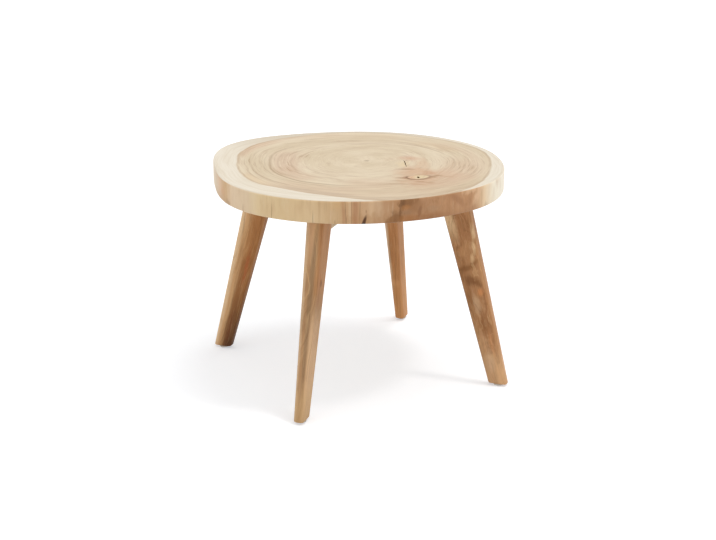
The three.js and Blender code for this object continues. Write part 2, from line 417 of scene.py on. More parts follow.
bores = []
for corner in corner_turns:
    for place in ("inner", "outer"):
        low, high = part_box(f"threaded_insert_{place}_{corner}")
        bolt_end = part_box(f"block_bolt_{place}_{corner}")[1][2]
        bores.append(drill(
            (high[0] - low[0]) / 2 + bore_clearance, slice_bottom - 2 * overrun,
            max(high[2], bolt_end) + bore_clearance,
            ((low[0] + high[0]) / 2, (low[1] + high[1]) / 2), 32, bore_finish))
carve(wood_slice, bores)
print("slice has", len(wood_slice.data.polygons), "faces after drilling")

# %% A cutter for cracks
crack_steps = 14
crack_pinch = 0.8          # how far the crack's walls close towards its bottom


def crack_cutter(start, end, width, depth, wander):
    """A wedge along a wandering line, widest in its middle and thin at its bottom."""
    along = end - start
    across = Vector((-along.y, along.x, 0)).normalized()

    def middle_at(share):
        """The crack's own line, which swings about the straight one."""
        swing = math.sin(5.1 * share + 0.4) + 0.35 * math.sin(17 * share)
        return start + along * share + across * (wander * swing)

    begin()
    bpy.ops.mesh.primitive_grid_add(x_subdivisions=crack_steps, y_subdivisions=1, size=1)
    cutter = take("crack_cutter")
    for vertex in cutter.data.vertices:
        share = vertex.co.x + 0.5
        side = 1 if vertex.co.y > 0 else -1
        taper = math.sin(math.pi * min(max(share, 0.03), 0.97)) ** 0.6
        place = middle_at(share) + across * (side * width / 2 * taper)
        vertex.co = (place.x, place.y, slice_top + overrun)
    open_whole(cutter)
    bpy.ops.mesh.extrude_region_move(
        TRANSFORM_OT_translate={"value": (0, 0, -depth - overrun)})
    close()
    for vertex in cutter.data.vertices:
        if vertex.co.z < slice_top:
            level = Vector((vertex.co.x, vertex.co.y, 0))
            share = (level - start).dot(along) / along.length_squared
            vertex.co += (middle_at(share) - level) * crack_pinch
    face_outwards(cutter)
    cutter.data.materials.append(crack_walls_shaded)
    return cutter


# %% A cutter for the bark pocket
def pocket_cutter(azimuth, width, height, depth, lean):
    """A narrow pointed gouge into the side, with a thin sill left under it."""
    sill, stand_off, point_width = 0.8 * MM, 1.5 * MM, 0.25 * MM
    cutter = cube("pocket_cutter")
    open_whole(cutter)
    bpy.ops.mesh.subdivide(number_cuts=7)
    close()
    radius = mean_radius * swell(azimuth)
    for vertex in cutter.data.vertices:
        share = vertex.co.z + 0.5
        inside = 0.5 - vertex.co.x
        open_width = width * (1 - share ** 2.6) + point_width
        bulge = 1 + 0.25 * math.sin(9 * share)
        deep = depth * min(0.40 + 2.4 * share, 1 - 0.6 * share)
        vertex.co = (radius + stand_off - inside * (deep + stand_off),
                     vertex.co.y * open_width * bulge * (1 - 0.7 * inside) + lean * share,
                     slice_bottom + sill + share * (height - sill))
    cutter.rotation_euler.z = azimuth
    settle(cutter)
    cutter.data.materials.append(crack_walls_shaded)
    return cutter


# %% Carve the crack, the knot's pin hole and the pocket
pith = Vector((23.2, 1.2, 0)) * MM
knot = Vector((58.0, -177.5, 0)) * MM
across_view = math.radians(-25.2)   # the camera's rightward direction, as an azimuth

flaws = [
    crack_cutter(Vector((99.6, -26.0, 0)) * MM, Vector((79.2, -84.8, 0)) * MM,
                 width=2.3 * MM, depth=5 * MM, wander=0.9 * MM),
    crack_cutter(Vector((107.5, -28.0, 0)) * MM, Vector((93.5, -44.0, 0)) * MM,
                 width=1.0 * MM, depth=2.5 * MM, wander=0.3 * MM),
    pocket_cutter(math.radians(-112.9),
                  width=6.6 * MM, height=25 * MM, depth=9 * MM, lean=7.5 * MM),
    pocket_cutter(math.radians(-146.2),
                  width=1.0 * MM, height=19 * MM, depth=4 * MM, lean=0.6 * MM),
]
pin_tip, pin_neck, pin_mouth = 0.8 * MM, 2.5 * MM, 2.9 * MM    # its radii, deepest first
pin_depth, neck_depth = 7 * MM, 2 * MM
pin_stretch = 2.3
pin = turned("knot_pin", [(pin_tip, slice_top - pin_depth), (pin_neck, slice_top - neck_depth),
                          (pin_mouth, slice_top + overrun)], 20)
pin.location = knot
pin.scale = (1, pin_stretch, 1)
pin.rotation_euler.z = across_view
settle(pin)
pin.data.materials.append(crack_walls_shaded)
carve(wood_slice, flaws + [pin])
smooth(wood_slice)
print("slice has", len(wood_slice.data.polygons), "faces when carved")

# %% [markdown]
# ## The legs
# Each leg is a tapered stick with softly rounded edges, leaning outwards. Its foot and
# its head are both cut level. It could be a cube that is tapered and bevelled, but then
# the rounding would be as wide at the thin foot as at the head. So two flat sections
# are drawn, each with corners of its own size, and the sides are bridged between them.

# %% Two sections
# Foot and head of the leg's shape: how far out its middle lies, its size outwards and
# across, its corners' radius, and its height. The real foot is cut just above the floor.
leg_sections = [
    dict(reach=336 * MM, depth=42 * MM, width=22 * MM, corner=7 * MM, height=0.0),
    dict(reach=220 * MM, depth=64 * MM, width=39 * MM, corner=10 * MM, height=slice_bottom),
]
leg_bottom, leg_top = place_of("leg_front_left")[1:]


def section_at(height):
    """The leg's level section at a height, between its two ends."""
    foot, head = leg_sections
    share = (height - foot["height"]) / (head["height"] - foot["height"])
    return {key: foot[key] + (head[key] - foot[key]) * share for key in foot}


def leg_inner_face(height):
    """How far out the leg's inner face is at a height."""
    section = section_at(height)
    return section["reach"] - section["depth"] / 2


def section_face(name, height):
    """A flat face with rounded corners at a height."""
    section = section_at(height)
    begin()
    bpy.ops.mesh.primitive_plane_add(size=1, location=(0, 0, 0))
    face = take(name)
    face.scale = (section["depth"], section["width"], 1)
    face.location = (section["reach"], 0, height)
    settle(face)
    pick(face, "VERT", lambda v: True)
    bpy.ops.mesh.bevel(offset=section["corner"], segments=8, affect="VERTICES", profile=0.5)
    close()
    return face


# %% Bridge the sections
foot_face = section_face("leg_foot_face", leg_bottom)
head_face = section_face("leg_pattern", leg_top)
only(head_face)
foot_face.select_set(True)
bpy.ops.object.join()
leg_pattern = bpy.context.object
pick(leg_pattern, "FACE", lambda f: True)
bpy.ops.mesh.delete(type="ONLY_FACE")
pick(leg_pattern, "EDGE", lambda e: True)
bpy.ops.mesh.bridge_edge_loops(number_cuts=11, interpolation="LINEAR")
for end in (leg_bottom, leg_top):
    pick_level_edges(leg_pattern, end)
    bpy.ops.mesh.edge_face_add()
print("leg pattern has", len(leg_pattern.data.polygons), "faces")

# %% Ease its ends
foot_easing, head_easing, end_inset = 2 * MM, 0.6 * MM, 0.8 * MM
for end, easing in ((leg_bottom, foot_easing), (leg_top, head_easing)):
    pick_level_edges(leg_pattern, end)
    bpy.ops.mesh.bevel(offset=easing, segments=4, profile=0.5)
inset_flat_ends(leg_pattern, end_inset)
face_outwards(leg_pattern)
print("eased leg has", len(leg_pattern.data.polygons), "faces")

# %% Sizes that a leg shares with its block and its glide
screw_radius, screw_head_radius = 2.25 * MM, 4.5 * MM
screw_length, screw_spacing = 75 * MM, 20 * MM
screw_gap = 0.3 * MM
sink_edge, sink_depth = 0.8 * MM, 3.5 * MM     # where the countersink starts and ends
joint_gap = 0.3 * MM       # between block and leg, and above the nail's tip
nail_bore_radius = 1.3 * MM
block_bottom, block_top = place_of("mounting_block_front_left")[1:]
screw_height = (block_bottom + block_top) / 2
block_depth = 48 * MM
block_inner = leg_inner_face(block_top) - joint_gap - block_depth
nail_reach, nail_bottom, nail_top = place_of("glide_nail_front_left")
print("screws lie", round(screw_height / MM, 1), "mm up")


# %% Drill the leg for its screws and its nail
def screw_drills():
    """A clearance hole with a countersink for each of the two screws, laid outwards."""
    drills = []
    for across in (-screw_spacing / 2, screw_spacing / 2):
        bit = turned("screw_drill", [
            (screw_head_radius + screw_gap, -overrun),
            (screw_head_radius + screw_gap, sink_edge),
            (screw_radius + screw_gap, sink_depth),
            (screw_radius + screw_gap, screw_length + screw_gap)], 32)
        bit.data.materials.append(bore_finish)
        bit.rotation_euler.y = math.pi / 2
        bit.location = (block_inner, across, screw_height)
        settle(bit)
        drills.append(bit)
    return drills


nail_drill = drill(nail_bore_radius, leg_bottom - overrun, nail_top + joint_gap,
                   (nail_reach, 0), 24, bore_finish)
leg_pattern.data.materials.append(bore_finish)
carve(leg_pattern, screw_drills() + [nail_drill])
smooth(leg_pattern)
print("drilled leg has", len(leg_pattern.data.polygons), "faces")

# %% [markdown]
# ## The mounting blocks
# Behind every leg's head sits a block of pale wood. It is what joins the leg to the
# slice: two screws run through it into the leg, and two bolts run up through it into
# the slice. Its outer face leans with the leg. A cube is enough to start from: its
# outer face is slid over to the lean, its edges are eased, and the holes are drilled.

# %% Shape one block
block_width = 32 * MM
block_easing = 1.5 * MM
block_middle = block_inner + block_depth / 2

block_pattern = cube("block_pattern")
block_pattern.scale = (block_depth, block_width, block_top - block_bottom)
block_pattern.location = (block_middle, 0, screw_height)
settle(block_pattern)
pick(block_pattern, "VERT", lambda v: v.co.x > block_middle and v.co.z < screw_height)
lean = leg_inner_face(block_bottom) - leg_inner_face(block_top)
bpy.ops.transform.translate(value=(lean, 0, 0))
pick(block_pattern, "EDGE", lambda e: True)
bpy.ops.mesh.bevel(offset=block_easing, segments=3, profile=0.5)
close()
print("block leans outwards by", round(lean / MM, 1), "mm")

# %% Drill the block
bolt_radius = 4 * MM
bolt_gap = 0.5 * MM
bolt_drills = [
    drill(bolt_radius + bolt_gap, block_bottom - overrun, block_top + overrun,
          (place_of(f"block_bolt_{place}_front_left")[0], 0), 40, bore_finish)
    for place in ("inner", "outer")]
block_pattern.data.materials.append(bore_finish)
carve(block_pattern, bolt_drills + screw_drills())
smooth(block_pattern)
print("drilled block has", len(block_pattern.data.polygons), "faces")

# %% [markdown]
# ## Bolts, washers and screws
# The bolts are button heads with a hexagon socket, on plain washers, and the screws are
# countersunk with a cross recess. Each is a round thing, so each is turned: a disc is
# extruded ring by ring. Spinning a profile would give the same, but scaling the end
# of each extrusion shows every radius and height in one short list.

# %% A button-head bolt
bolt_low, bolt_high = place_of("block_bolt_inner_front_left")[1:]
head_radius, head_height, thread_chamfer = 7 * MM, 4.4 * MM, 1.2 * MM
key_radius, key_depth = 2.85 * MM, 2.4 * MM
key_tip_radius, key_tip_depth = 0.4 * MM, 3.1 * MM
bolt_seat = bolt_low + head_height
# The dome, as shares of the head's radius and of its height above the seat.
dome_shares = [(0.60, 1.0), (0.66, 0.985), (0.76, 0.90), (0.85, 0.74), (0.93, 0.50),
               (0.98, 0.25), (1.0, 0.08)]
bolt_rings = [(head_radius * out, bolt_seat - head_height * down) for out, down in dome_shares]
bolt_rings += [(head_radius, bolt_seat), (bolt_radius, bolt_seat),
               (bolt_radius, bolt_high - thread_chamfer),
               (bolt_radius - thread_chamfer, bolt_high)]
bolt_pattern = turned("bolt_pattern", bolt_rings)
socket = turned("hexagon_key", [
    (key_radius, bolt_low - overrun), (key_radius, bolt_low + key_depth),
    (key_tip_radius, bolt_low + key_tip_depth)], 6)
carve(bolt_pattern, [socket])
smooth(bolt_pattern, 40)
print("bolt has", len(bolt_pattern.data.polygons), "faces")

# %% Its washer
washer_low, washer_high = place_of("bolt_washer_inner_front_left")[1:]
washer_radius, washer_edge, washer_gap = 9.5 * MM, 0.25 * MM, 0.3 * MM
washer_pattern = turned("washer_pattern", [
    (washer_radius - washer_edge, washer_low), (washer_radius, washer_low + washer_edge),
    (washer_radius, washer_high - washer_edge), (washer_radius - washer_edge, washer_high)], 56)
carve(washer_pattern, [drill(bolt_radius + washer_gap, washer_low - overrun,
                             washer_high + overrun)])
smooth(washer_pattern, 40)
print("washer has", len(washer_pattern.data.polygons), "faces")

# %% A countersunk screw with a cross recess
face_edge, rim_depth, cone_depth = 0.15 * MM, 0.5 * MM, 3.2 * MM     # the head's steps
screw_point, screw_tip = 5 * MM, 0.2 * MM
screw_pattern = turned("screw_pattern", [
    (screw_head_radius - face_edge, 0), (screw_head_radius, face_edge),
    (screw_head_radius, rim_depth), (screw_radius, cone_depth),
    (screw_radius, screw_length - screw_point), (screw_tip, screw_length)], 40)

# The recess is cut by two crossed bars. Each has its length, its width, its height and
# the depth of its middle, and keeps these shares of them at its bottom.
bar_size, bar_middle = (4.6 * MM, 0.95 * MM, 3 * MM), 0.4 * MM
bar_bottom_shares = (0.35, 0.7, 1)


def recess_bar(turn):
    """One bar of the cross: long at the face, pointed at its bottom."""
    bar = cube("cross_bar")
    bar.scale = bar_size
    bar.location.z = bar_middle
    settle(bar)
    pick(bar, "VERT", lambda v: v.co.z > 0)
    bpy.ops.transform.resize(value=bar_bottom_shares, center_override=(0, 0, 0))
    close()
    bar.rotation_euler.z = turn
    settle(bar)
    return bar


carve(screw_pattern, [recess_bar(0), recess_bar(math.pi / 2)])
smooth(screw_pattern, 40)
print("screw has", len(screw_pattern.data.polygons), "faces")

# %% [markdown]
# ## Glides and nails
# Under each foot a milky plastic glide is nailed on. It spreads from a small sole to
# the width of the leg, and a recess keeps the nail's head off the floor. It is turned
# like the bolts, and two drills make the recess and the nail's bore.

# %% One glide
glide_reach, glide_low, glide_high = place_of("floor_glide_front_left")
glide_radius, sole_radius, glide_edge = 10.5 * MM, 7 * MM, 0.4 * MM
recess_radius, recess_depth = 3.3 * MM, 2 * MM
bore_overlap = 0.5 * MM
round_steps = 5
glide_rings = [(sole_radius, glide_low)]
for step in range(1, round_steps + 1):
    angle = step / round_steps * math.pi / 2
    glide_rings.append((sole_radius + (glide_radius - sole_radius) * math.sin(angle),
                        glide_low + recess_depth * (1 - math.cos(angle))))
glide_rings += [(glide_radius, glide_high - glide_edge), (glide_radius - glide_edge, glide_high)]
glide_pattern = turned("glide_pattern", glide_rings, 56)
carve(glide_pattern, [
    drill(recess_radius, glide_low - overrun, recess_depth),
    drill(nail_bore_radius, recess_depth - bore_overlap, glide_high + overrun, sides=24)])
smooth(glide_pattern, 40)
print("glide has", len(glide_pattern.data.polygons), "faces")

# %% One nail
nail_radius, nail_head_radius, nail_head_height = 1 * MM, 3 * MM, 1.2 * MM
nail_inset, nail_rim, nail_edge = 0.4 * MM, 0.25 * MM, 0.2 * MM     # the head's rounding
nail_point, nail_tip = 3 * MM, 0.1 * MM
nail_neck = nail_bottom + nail_head_height
nail_pattern = turned("nail_pattern", [
    (nail_head_radius - nail_inset, nail_bottom), (nail_head_radius, nail_bottom + nail_rim),
    (nail_head_radius, nail_neck - nail_edge), (nail_head_radius - nail_edge, nail_neck),
    (nail_radius, nail_neck), (nail_radius, nail_top - nail_point), (nail_tip, nail_top)], 32)
smooth(nail_pattern, 40)
print("nail has", len(nail_pattern.data.polygons), "faces")

# %% [markdown]
# ## Four corners from one set
# Every piece now exists once. The copies are turned to the corners, and each stands
# for its own CAD node and rides on the table's one body. Linked copies would be
# lighter, but here each piece owns its mesh, so it can be exported alone and can wear
# its own grain.

# %% Standing for a CAD node
def stand_for(piece, node):
    """The piece takes the node's place on the table's body."""
    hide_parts(node)
    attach(piece, "root")


def at_corner(corner, reach=0.0):
    """A turn to the corner after a move outwards."""
    return Matrix.Rotation(corner_turns[corner], 4, "Z") @ Matrix.Translation((reach, 0, 0))


def placed(pattern, name, move, node):
    """A copy of the pattern that stands for a node."""
    piece = copy_of(pattern, name, move)
    stand_for(piece, node)
    return piece


# %% Copy the pieces to the corners
stand_for(wood_slice, "tabletop_slice")
legs, blocks, steel_pieces, glides = {}, {}, [], []
for corner in corner_turns:
    legs[corner] = placed(leg_pattern, f"splayed_leg_{corner}", at_corner(corner),
                          f"leg_{corner}")
    blocks[corner] = placed(block_pattern, f"pale_block_{corner}", at_corner(corner),
                            f"mounting_block_{corner}")
    for place in ("inner", "outer"):
        under_head = at_corner(corner, place_of(f"block_bolt_{place}_{corner}")[0])
        steel_pieces.append(placed(bolt_pattern, f"button_bolt_{place}_{corner}", under_head,
                                   f"block_bolt_{place}_{corner}"))
        steel_pieces.append(placed(washer_pattern, f"steel_washer_{place}_{corner}", under_head,
                                   f"bolt_washer_{place}_{corner}"))
    for side, across in (("right", -screw_spacing / 2), ("left", screw_spacing / 2)):
        laid = Matrix.Translation((block_inner, across, screw_height)) \
            @ Matrix.Rotation(math.pi / 2, 4, "Y")
        steel_pieces.append(placed(screw_pattern, f"cross_screw_{side}_{corner}",
                                   at_corner(corner) @ laid,
                                   f"leg_screw_{side}_{corner}"))
    glides.append(placed(glide_pattern, f"foot_glide_{corner}", at_corner(corner, glide_reach),
                         f"floor_glide_{corner}"))
    steel_pieces.append(placed(nail_pattern, f"foot_nail_{corner}", at_corner(corner, nail_reach),
                               f"glide_nail_{corner}"))
for pattern in (leg_pattern, block_pattern, bolt_pattern, washer_pattern, screw_pattern,
                glide_pattern, nail_pattern):
    bpy.data.objects.remove(pattern, do_unlink=True)

# %% [markdown]
# ## Shader sums in plain Python
# The finishes below are sums of waves and noise. Wiring each Add and Multiply by hand
# would bury the idea, so a small class wraps a socket: an ordinary expression on it
# adds the Math nodes, and one method adds any other node. Colours go through Mix
# nodes, because a Math node would turn them grey.

# %% The socket class
def math_node(operation, turned_round=False):
    """A Python operator that adds a Math node; turned round, as for 1 - mask."""
    def operator(self, other):
        return self.sum_of(operation, *((other, self) if turned_round else (self, other)))
    return operator


class Strand:
    """One output in a material's node tree, which sums and products can use."""

    def __init__(self, tree, socket=None):
        self.tree = tree
        self.socket = socket

    def node(self, kind, settings=None, sockets=None, output=0):
        """Adds a node, sets it, feeds its sockets and returns one output."""
        made = self.tree.nodes.new(kind)
        for key, value in (settings or {}).items():
            if key == "stops":
                ramp = made.color_ramp
                while len(ramp.elements) < len(value):
                    ramp.elements.new(0.5)
                for element, (place, colour) in zip(ramp.elements, value):
                    element.position = place
                    element.color = colour
            else:
                setattr(made, key, value)
        for key, value in (sockets or {}).items():
            usable = [s for s in made.inputs if s.enabled]
            target = usable[key] if isinstance(key, int) else next(
                s for s in usable if s.name == key)
            if isinstance(value, Strand):
                self.tree.links.new(value.socket, target)
            else:
                target.default_value = value
        usable = [s for s in made.outputs if s.enabled]
        out = usable[output] if isinstance(output, int) else next(
            (s for s in usable if s.name == output), None)
        return Strand(self.tree, out)

    def sum_of(self, operation, *values):
        """A Math node fed with one or two values."""
        return self.node("ShaderNodeMath", {"operation": operation}, dict(enumerate(values)))

    def all_outputs(self):
        """Every output of the node that this one belongs to, by name."""
        return {s.name: Strand(self.tree, s) for s in self.socket.node.outputs}

    __add__, __radd__ = math_node("ADD"), math_node("ADD", True)
    __sub__, __rsub__ = math_node("SUBTRACT"), math_node("SUBTRACT", True)
    __mul__, __rmul__ = math_node("MULTIPLY"), math_node("MULTIPLY", True)
    __truediv__, __rtruediv__ = math_node("DIVIDE"), math_node("DIVIDE", True)
    __pow__, __rpow__ = math_node("POWER"), math_node("POWER", True)


# %% Small words for numbers
def ease(value, low, high):
    """0 below low, 1 above high, smooth between; low may be the larger."""
    return value.node("ShaderNodeMapRange", {"interpolation_type": "SMOOTHSTEP"},
                      {"Value": value, "From Min": low, "From Max": high}, "Result")


def within(value, low, high, soft):
    """1 between two values, with soft ends."""
    return ease(value, low - soft, low + soft) * ease(value, high + soft, high - soft)


def size_of(value):
    """The value without its sign."""
    return value.sum_of("ABSOLUTE", value)


def length_of(first, *others):
    """The length of a vector, from its parts."""
    total = first * first
    for part in others:
        total = total + part * part
    return total.sum_of("SQRT", total)


def limited(value):
    """Kept between 0 and 1."""
    return value.node("ShaderNodeClamp", None, {"Value": value})


def vector_of(x, y, z):
    """A vector from three values, of which one at least is a socket."""
    first = next(v for v in (x, y, z) if isinstance(v, Strand))
    return first.node("ShaderNodeCombineXYZ", None, {"X": x, "Y": y, "Z": z})


def grain_noise(vector, scale=1.0, detail=2.0, roughness=0.5):
    """Smooth noise about 0, from -1 to 1 at most."""
    return vector.node("ShaderNodeTexNoise", {"noise_dimensions": "3D"},
                       {"Vector": vector, "Scale": scale, "Detail": detail,
                        "Roughness": roughness}, 0) * 2.0 - 1.0


# %% Small words for colours
def paint(red, green, blue):
    """A colour as it looks on screen, 0 to 255, for a shader socket."""
    def plain(value):
        value /= 255
        return value / 12.92 if value <= 0.04045 else ((value + 0.055) / 1.055) ** 2.4
    return (plain(red), plain(green), plain(blue), 1.0)


def tint(amount, under, over):
    """The colour under, with the colour over laid on it by an amount."""
    first = next(v for v in (amount, under, over) if isinstance(v, Strand))
    return first.node("ShaderNodeMix", {"data_type": "RGBA"},
                      {"Factor": amount, "A": under, "B": over}, "Result")


def tinted(colour, *layers):
    """The colour under several tones, each laid on by its own amount, in order."""
    for amount, tone in layers:
        colour = tint(amount, colour, paint(*tone))
    return colour


# %% A material's start and its end
def in_millimetres(material, place=(0, 0, 0), turn=(0, 0, 0)):
    """The place on the piece in millimetres, in a frame of its own."""
    start = Strand(material.node_tree)
    where = start.node("ShaderNodeTexCoord", None, None, "Object")
    framed = start.node("ShaderNodeMapping", {"vector_type": "TEXTURE"},
                        {"Vector": where, "Location": place, "Rotation": turn})
    wide = start.node("ShaderNodeVectorMath", {"operation": "SCALE"},
                      {"Vector": framed, "Scale": 1 / MM})
    split = start.node("ShaderNodeSeparateXYZ", None, {"Vector": wide})
    return wide, split.all_outputs().values()


def finish_with(material, colour, roughness, bump=None, bump_depth=0.0001, plain=None):
    """The surface shader, with a bump whose height is in metres."""
    start = Strand(material.node_tree)
    sockets = {"Base Color": colour, "Roughness": roughness}
    sockets.update(plain or {})
    if bump is not None:
        sockets["Normal"] = start.node(
            "ShaderNodeBump", None, {"Strength": 1.0, "Distance": bump_depth, "Height": bump})
    surface = start.node("ShaderNodeBsdfPrincipled", None, sockets)
    start.node("ShaderNodeOutputMaterial", None, {"Surface": surface}, None)
    print(material.name, "has", len(material.node_tree.nodes), "nodes")


# %% [markdown]
# ## End grain: rings that follow the trunk
# A sawn face shows the year rings about the pith, a brown heart with a dark line at its
# border, and a pale band of sapwood under the bark, wide on one side and thin on the
# other. A wood texture from a library would be round and even. Here a ring coordinate
# is worked out: the distance from the pith, divided by the distance to the live edge in
# the same direction, so the rings start round and end as lobed as the trunk.

# %% The trunk's outline seen from the pith
direction_count = 720
outline_directions = [-math.pi + 2 * math.pi * i / direction_count
                      for i in range(direction_count)]


def outline_waves(count):
    """Mean radius in mm, and each wave's number, share and phase, seen from the pith."""
    seen = sorted((math.atan2(p.y - pith.y, p.x - pith.x), (p - pith).length) for p in live_edge)
    radii = [min(seen, key=lambda s: abs(s[0] - azimuth))[1] for azimuth in outline_directions]
    mean = sum(radii) / len(radii)
    waves = []
    for number in range(1, count + 1):
        cosine, sine = (
            sum(radius * wave(number * azimuth)
                for radius, azimuth in zip(radii, outline_directions)) * 2 / len(radii)
            for wave in (math.cos, math.sin))
        waves.append((number, math.hypot(cosine, sine) / mean, math.atan2(sine, cosine)))
    return mean / MM, waves


def wave_sum(azimuth, total, waves):
    """The total plus a cosine for each wave: its number, its size and its phase."""
    for number, size, phase in waves:
        total = azimuth.sum_of("COSINE", azimuth * float(number) - phase) * size + total
    return total


pith_radius, pith_waves = outline_waves(6)
print("edge lies", round(pith_radius, 1), "mm from the pith on average")

# %% Patches in the heart
# The heart isn't one even colour. Pinkish and tan patches lie along the rings, each
# given by the azimuth and the distance from the pith of its middle, and by how far it
# reaches each way. Degrees and millimetres.
heart_patches = [
    (157, 28, 176, 34, (205, 174, 147), 0.80),
    (-168, 18, 190, 28, (204, 172, 143), 0.75),
    (-140, 19, 264, 42, (206, 176, 147), 0.65),
    (-115, 13, 205, 58, (209, 178, 150), 0.50),
    (-58, 40, 222, 60, (200, 166, 136), 0.62),
    (-66, 20, 125, 30, (198, 158, 124), 0.50),
    (-68, 14, 255, 34, (198, 160, 128), 0.45),
    (-8, 20, 62, 26, (206, 182, 150), 0.55),
    (-12, 17, 98, 18, (204, 172, 145), 0.60),
    (0, 22, 252, 20, (204, 176, 146), 0.55),
    (130, 16, 277, 24, (206, 170, 138), 0.75),
    (17, 15, 226, 24, (214, 184, 148), 0.40),
    (68, 24, 262, 26, (208, 182, 150), 0.40),
    (66, 18, 178, 14, (206, 184, 162), 0.35),
    (100, 20, 280, 20, (208, 180, 150), 0.50),
    (-100, 26, 290, 36, (206, 176, 146), 0.45),
    (-168, 12, 278, 18, (216, 184, 140), 0.50),
]

# Marks round the knot, from the knot's middle: how far to the right and away from the
# camera, how far each reaches in both ways, the tone and the strength.
knot_marks = [
    (-2, -2, 50, 84, (202, 160, 124), 0.66),
    (2, 62, 34, 38, (206, 162, 124), 0.36),
    (25, 38, 14, 20, (184, 130, 92), 0.62),
    (60, 30, 34, 52, (208, 170, 138), 0.50),
    (13, 124, 19, 40, (207, 168, 130), 0.50),
    (-9, 172, 32, 20, (206, 164, 130), 0.55),
    (-27, 120, 15, 32, (232, 208, 164), 0.50),
    (-24, 71, 19, 5, (146, 106, 70), 0.78),
    (-30, -6, 18, 7, (150, 104, 68), 0.70),
    (-40, -30, 30, 6, (168, 128, 90), 0.50),
    (-46, -56, 34, 6, (166, 126, 90), 0.50),
    (2, -38, 14, 6, (164, 114, 78), 0.70),
    (22, -46, 12, 6, (168, 118, 80), 0.60),
    (-4, -58, 16, 6, (176, 128, 92), 0.50),
    (32, 5, 9, 8, (156, 118, 80), 0.62),
    (42, 15, 11, 8, (160, 122, 86), 0.60),
    (62, 6, 17, 6, (184, 146, 112), 0.40),
]

# The sapwood's width goes round the trunk as waves too, widest at the left: how many,
# how high in mm, and the first crest in degrees.
sapwood_waves = [(1, 18.0, 149.1), (2, 13.4, -14.9), (3, 4.6, -31.3), (4, 8.8, 39.1)]
sapwood_mean = 29.3
# Where it is wider or thinner than the waves say: azimuth and reach in degrees, and mm.
sapwood_changes = [(-140, 17, 8.5), (-108, 10, -5.0)]

# Strong old rings, by their distance from the pith, half thickness and strength.
old_rings = [(205.0, 4.6, 0.85), (216.0, 3.2, 0.35), (188.0, 3.0, 0.30),
             (243.0, 4.0, 0.30), (160.0, 3.0, 0.22), (132.0, 2.6, 0.16)]


def near_azimuth(azimuth, middle, reach):
    """1 at a middle, falling to 0 beyond its reach either way: radians, degrees, degrees."""
    swing = azimuth.sum_of("COSINE", azimuth - math.radians(middle))
    return ease(swing, math.cos(math.radians(reach * 1.35)), math.cos(math.radians(reach * 0.4)))


# %% Where a point of the face lies
def face_places(x, y):
    """What the face's colours are drawn from: its azimuth, its ring, its place by the knot."""
    off_x, off_y = x - pith.x / MM, y - pith.y / MM
    azimuth = x.sum_of("ARCTAN2", off_y, off_x)
    out = length_of(off_x, off_y)
    lobes = wave_sum(azimuth, 1.0, pith_waves)
    edge_out = lobes * pith_radius
    flat = vector_of(x, y, 0.0)
    # the knot in its own axes, across the view and away from it
    knot_x, knot_y = x - knot.x / MM, y - knot.y / MM
    knot_a = knot_x * math.cos(across_view) + knot_y * math.sin(across_view)
    knot_b = knot_y * math.cos(across_view) - knot_x * math.sin(across_view)
    # rings are round near the pith, and bend round the knot
    sway = grain_noise(flat, 0.0085, 1.0) * 7.0 + grain_noise(flat, 0.035, 2.0) * 2.0
    share = (out / edge_out) ** 1.5
    bend = ease(length_of(knot_a, knot_b), 70.0, 4.0) * 20.0
    ring = out / ((lobes - 1.0) * share + 1.0) + sway - bend
    return SimpleNamespace(azimuth=azimuth, out=out, inwards=edge_out - out, ring=ring,
                           flat=flat, knot_a=knot_a, knot_b=knot_b)


# %% Lines along the rings
# Noise whose first coordinate is the ring and whose others go slowly round the pith gives
# lines along the rings. Each kind: its fineness, its change round the pith, a seed, its
# detail and its roughness.
line_kinds = {
    "broad": (0.020, 0.8, 3.0, 1.0, 0.5),
    "middle": (0.060, 1.8, 11.0, 3.0, 0.6),
    "fine": (0.21, 2.4, 29.0, 3.0, 0.65),
    "hair": (0.62, 4.2, 47.0, 3.0, 0.65),
}


def add_ring_lines(at):
    """Puts the four kinds of line, and a sum of the finer three, with the places."""
    around_x, around_y = (at.azimuth.sum_of(wave, at.azimuth) for wave in ("COSINE", "SINE"))
    for name, (fineness, change, seed, detail, roughness) in line_kinds.items():
        line = vector_of(at.ring * fineness + seed, around_x * change, around_y * change)
        setattr(at, name, grain_noise(line, 1.0, detail, roughness))
    at.streaks = at.middle * 0.5 + at.fine * 0.6 + at.hair * 0.4


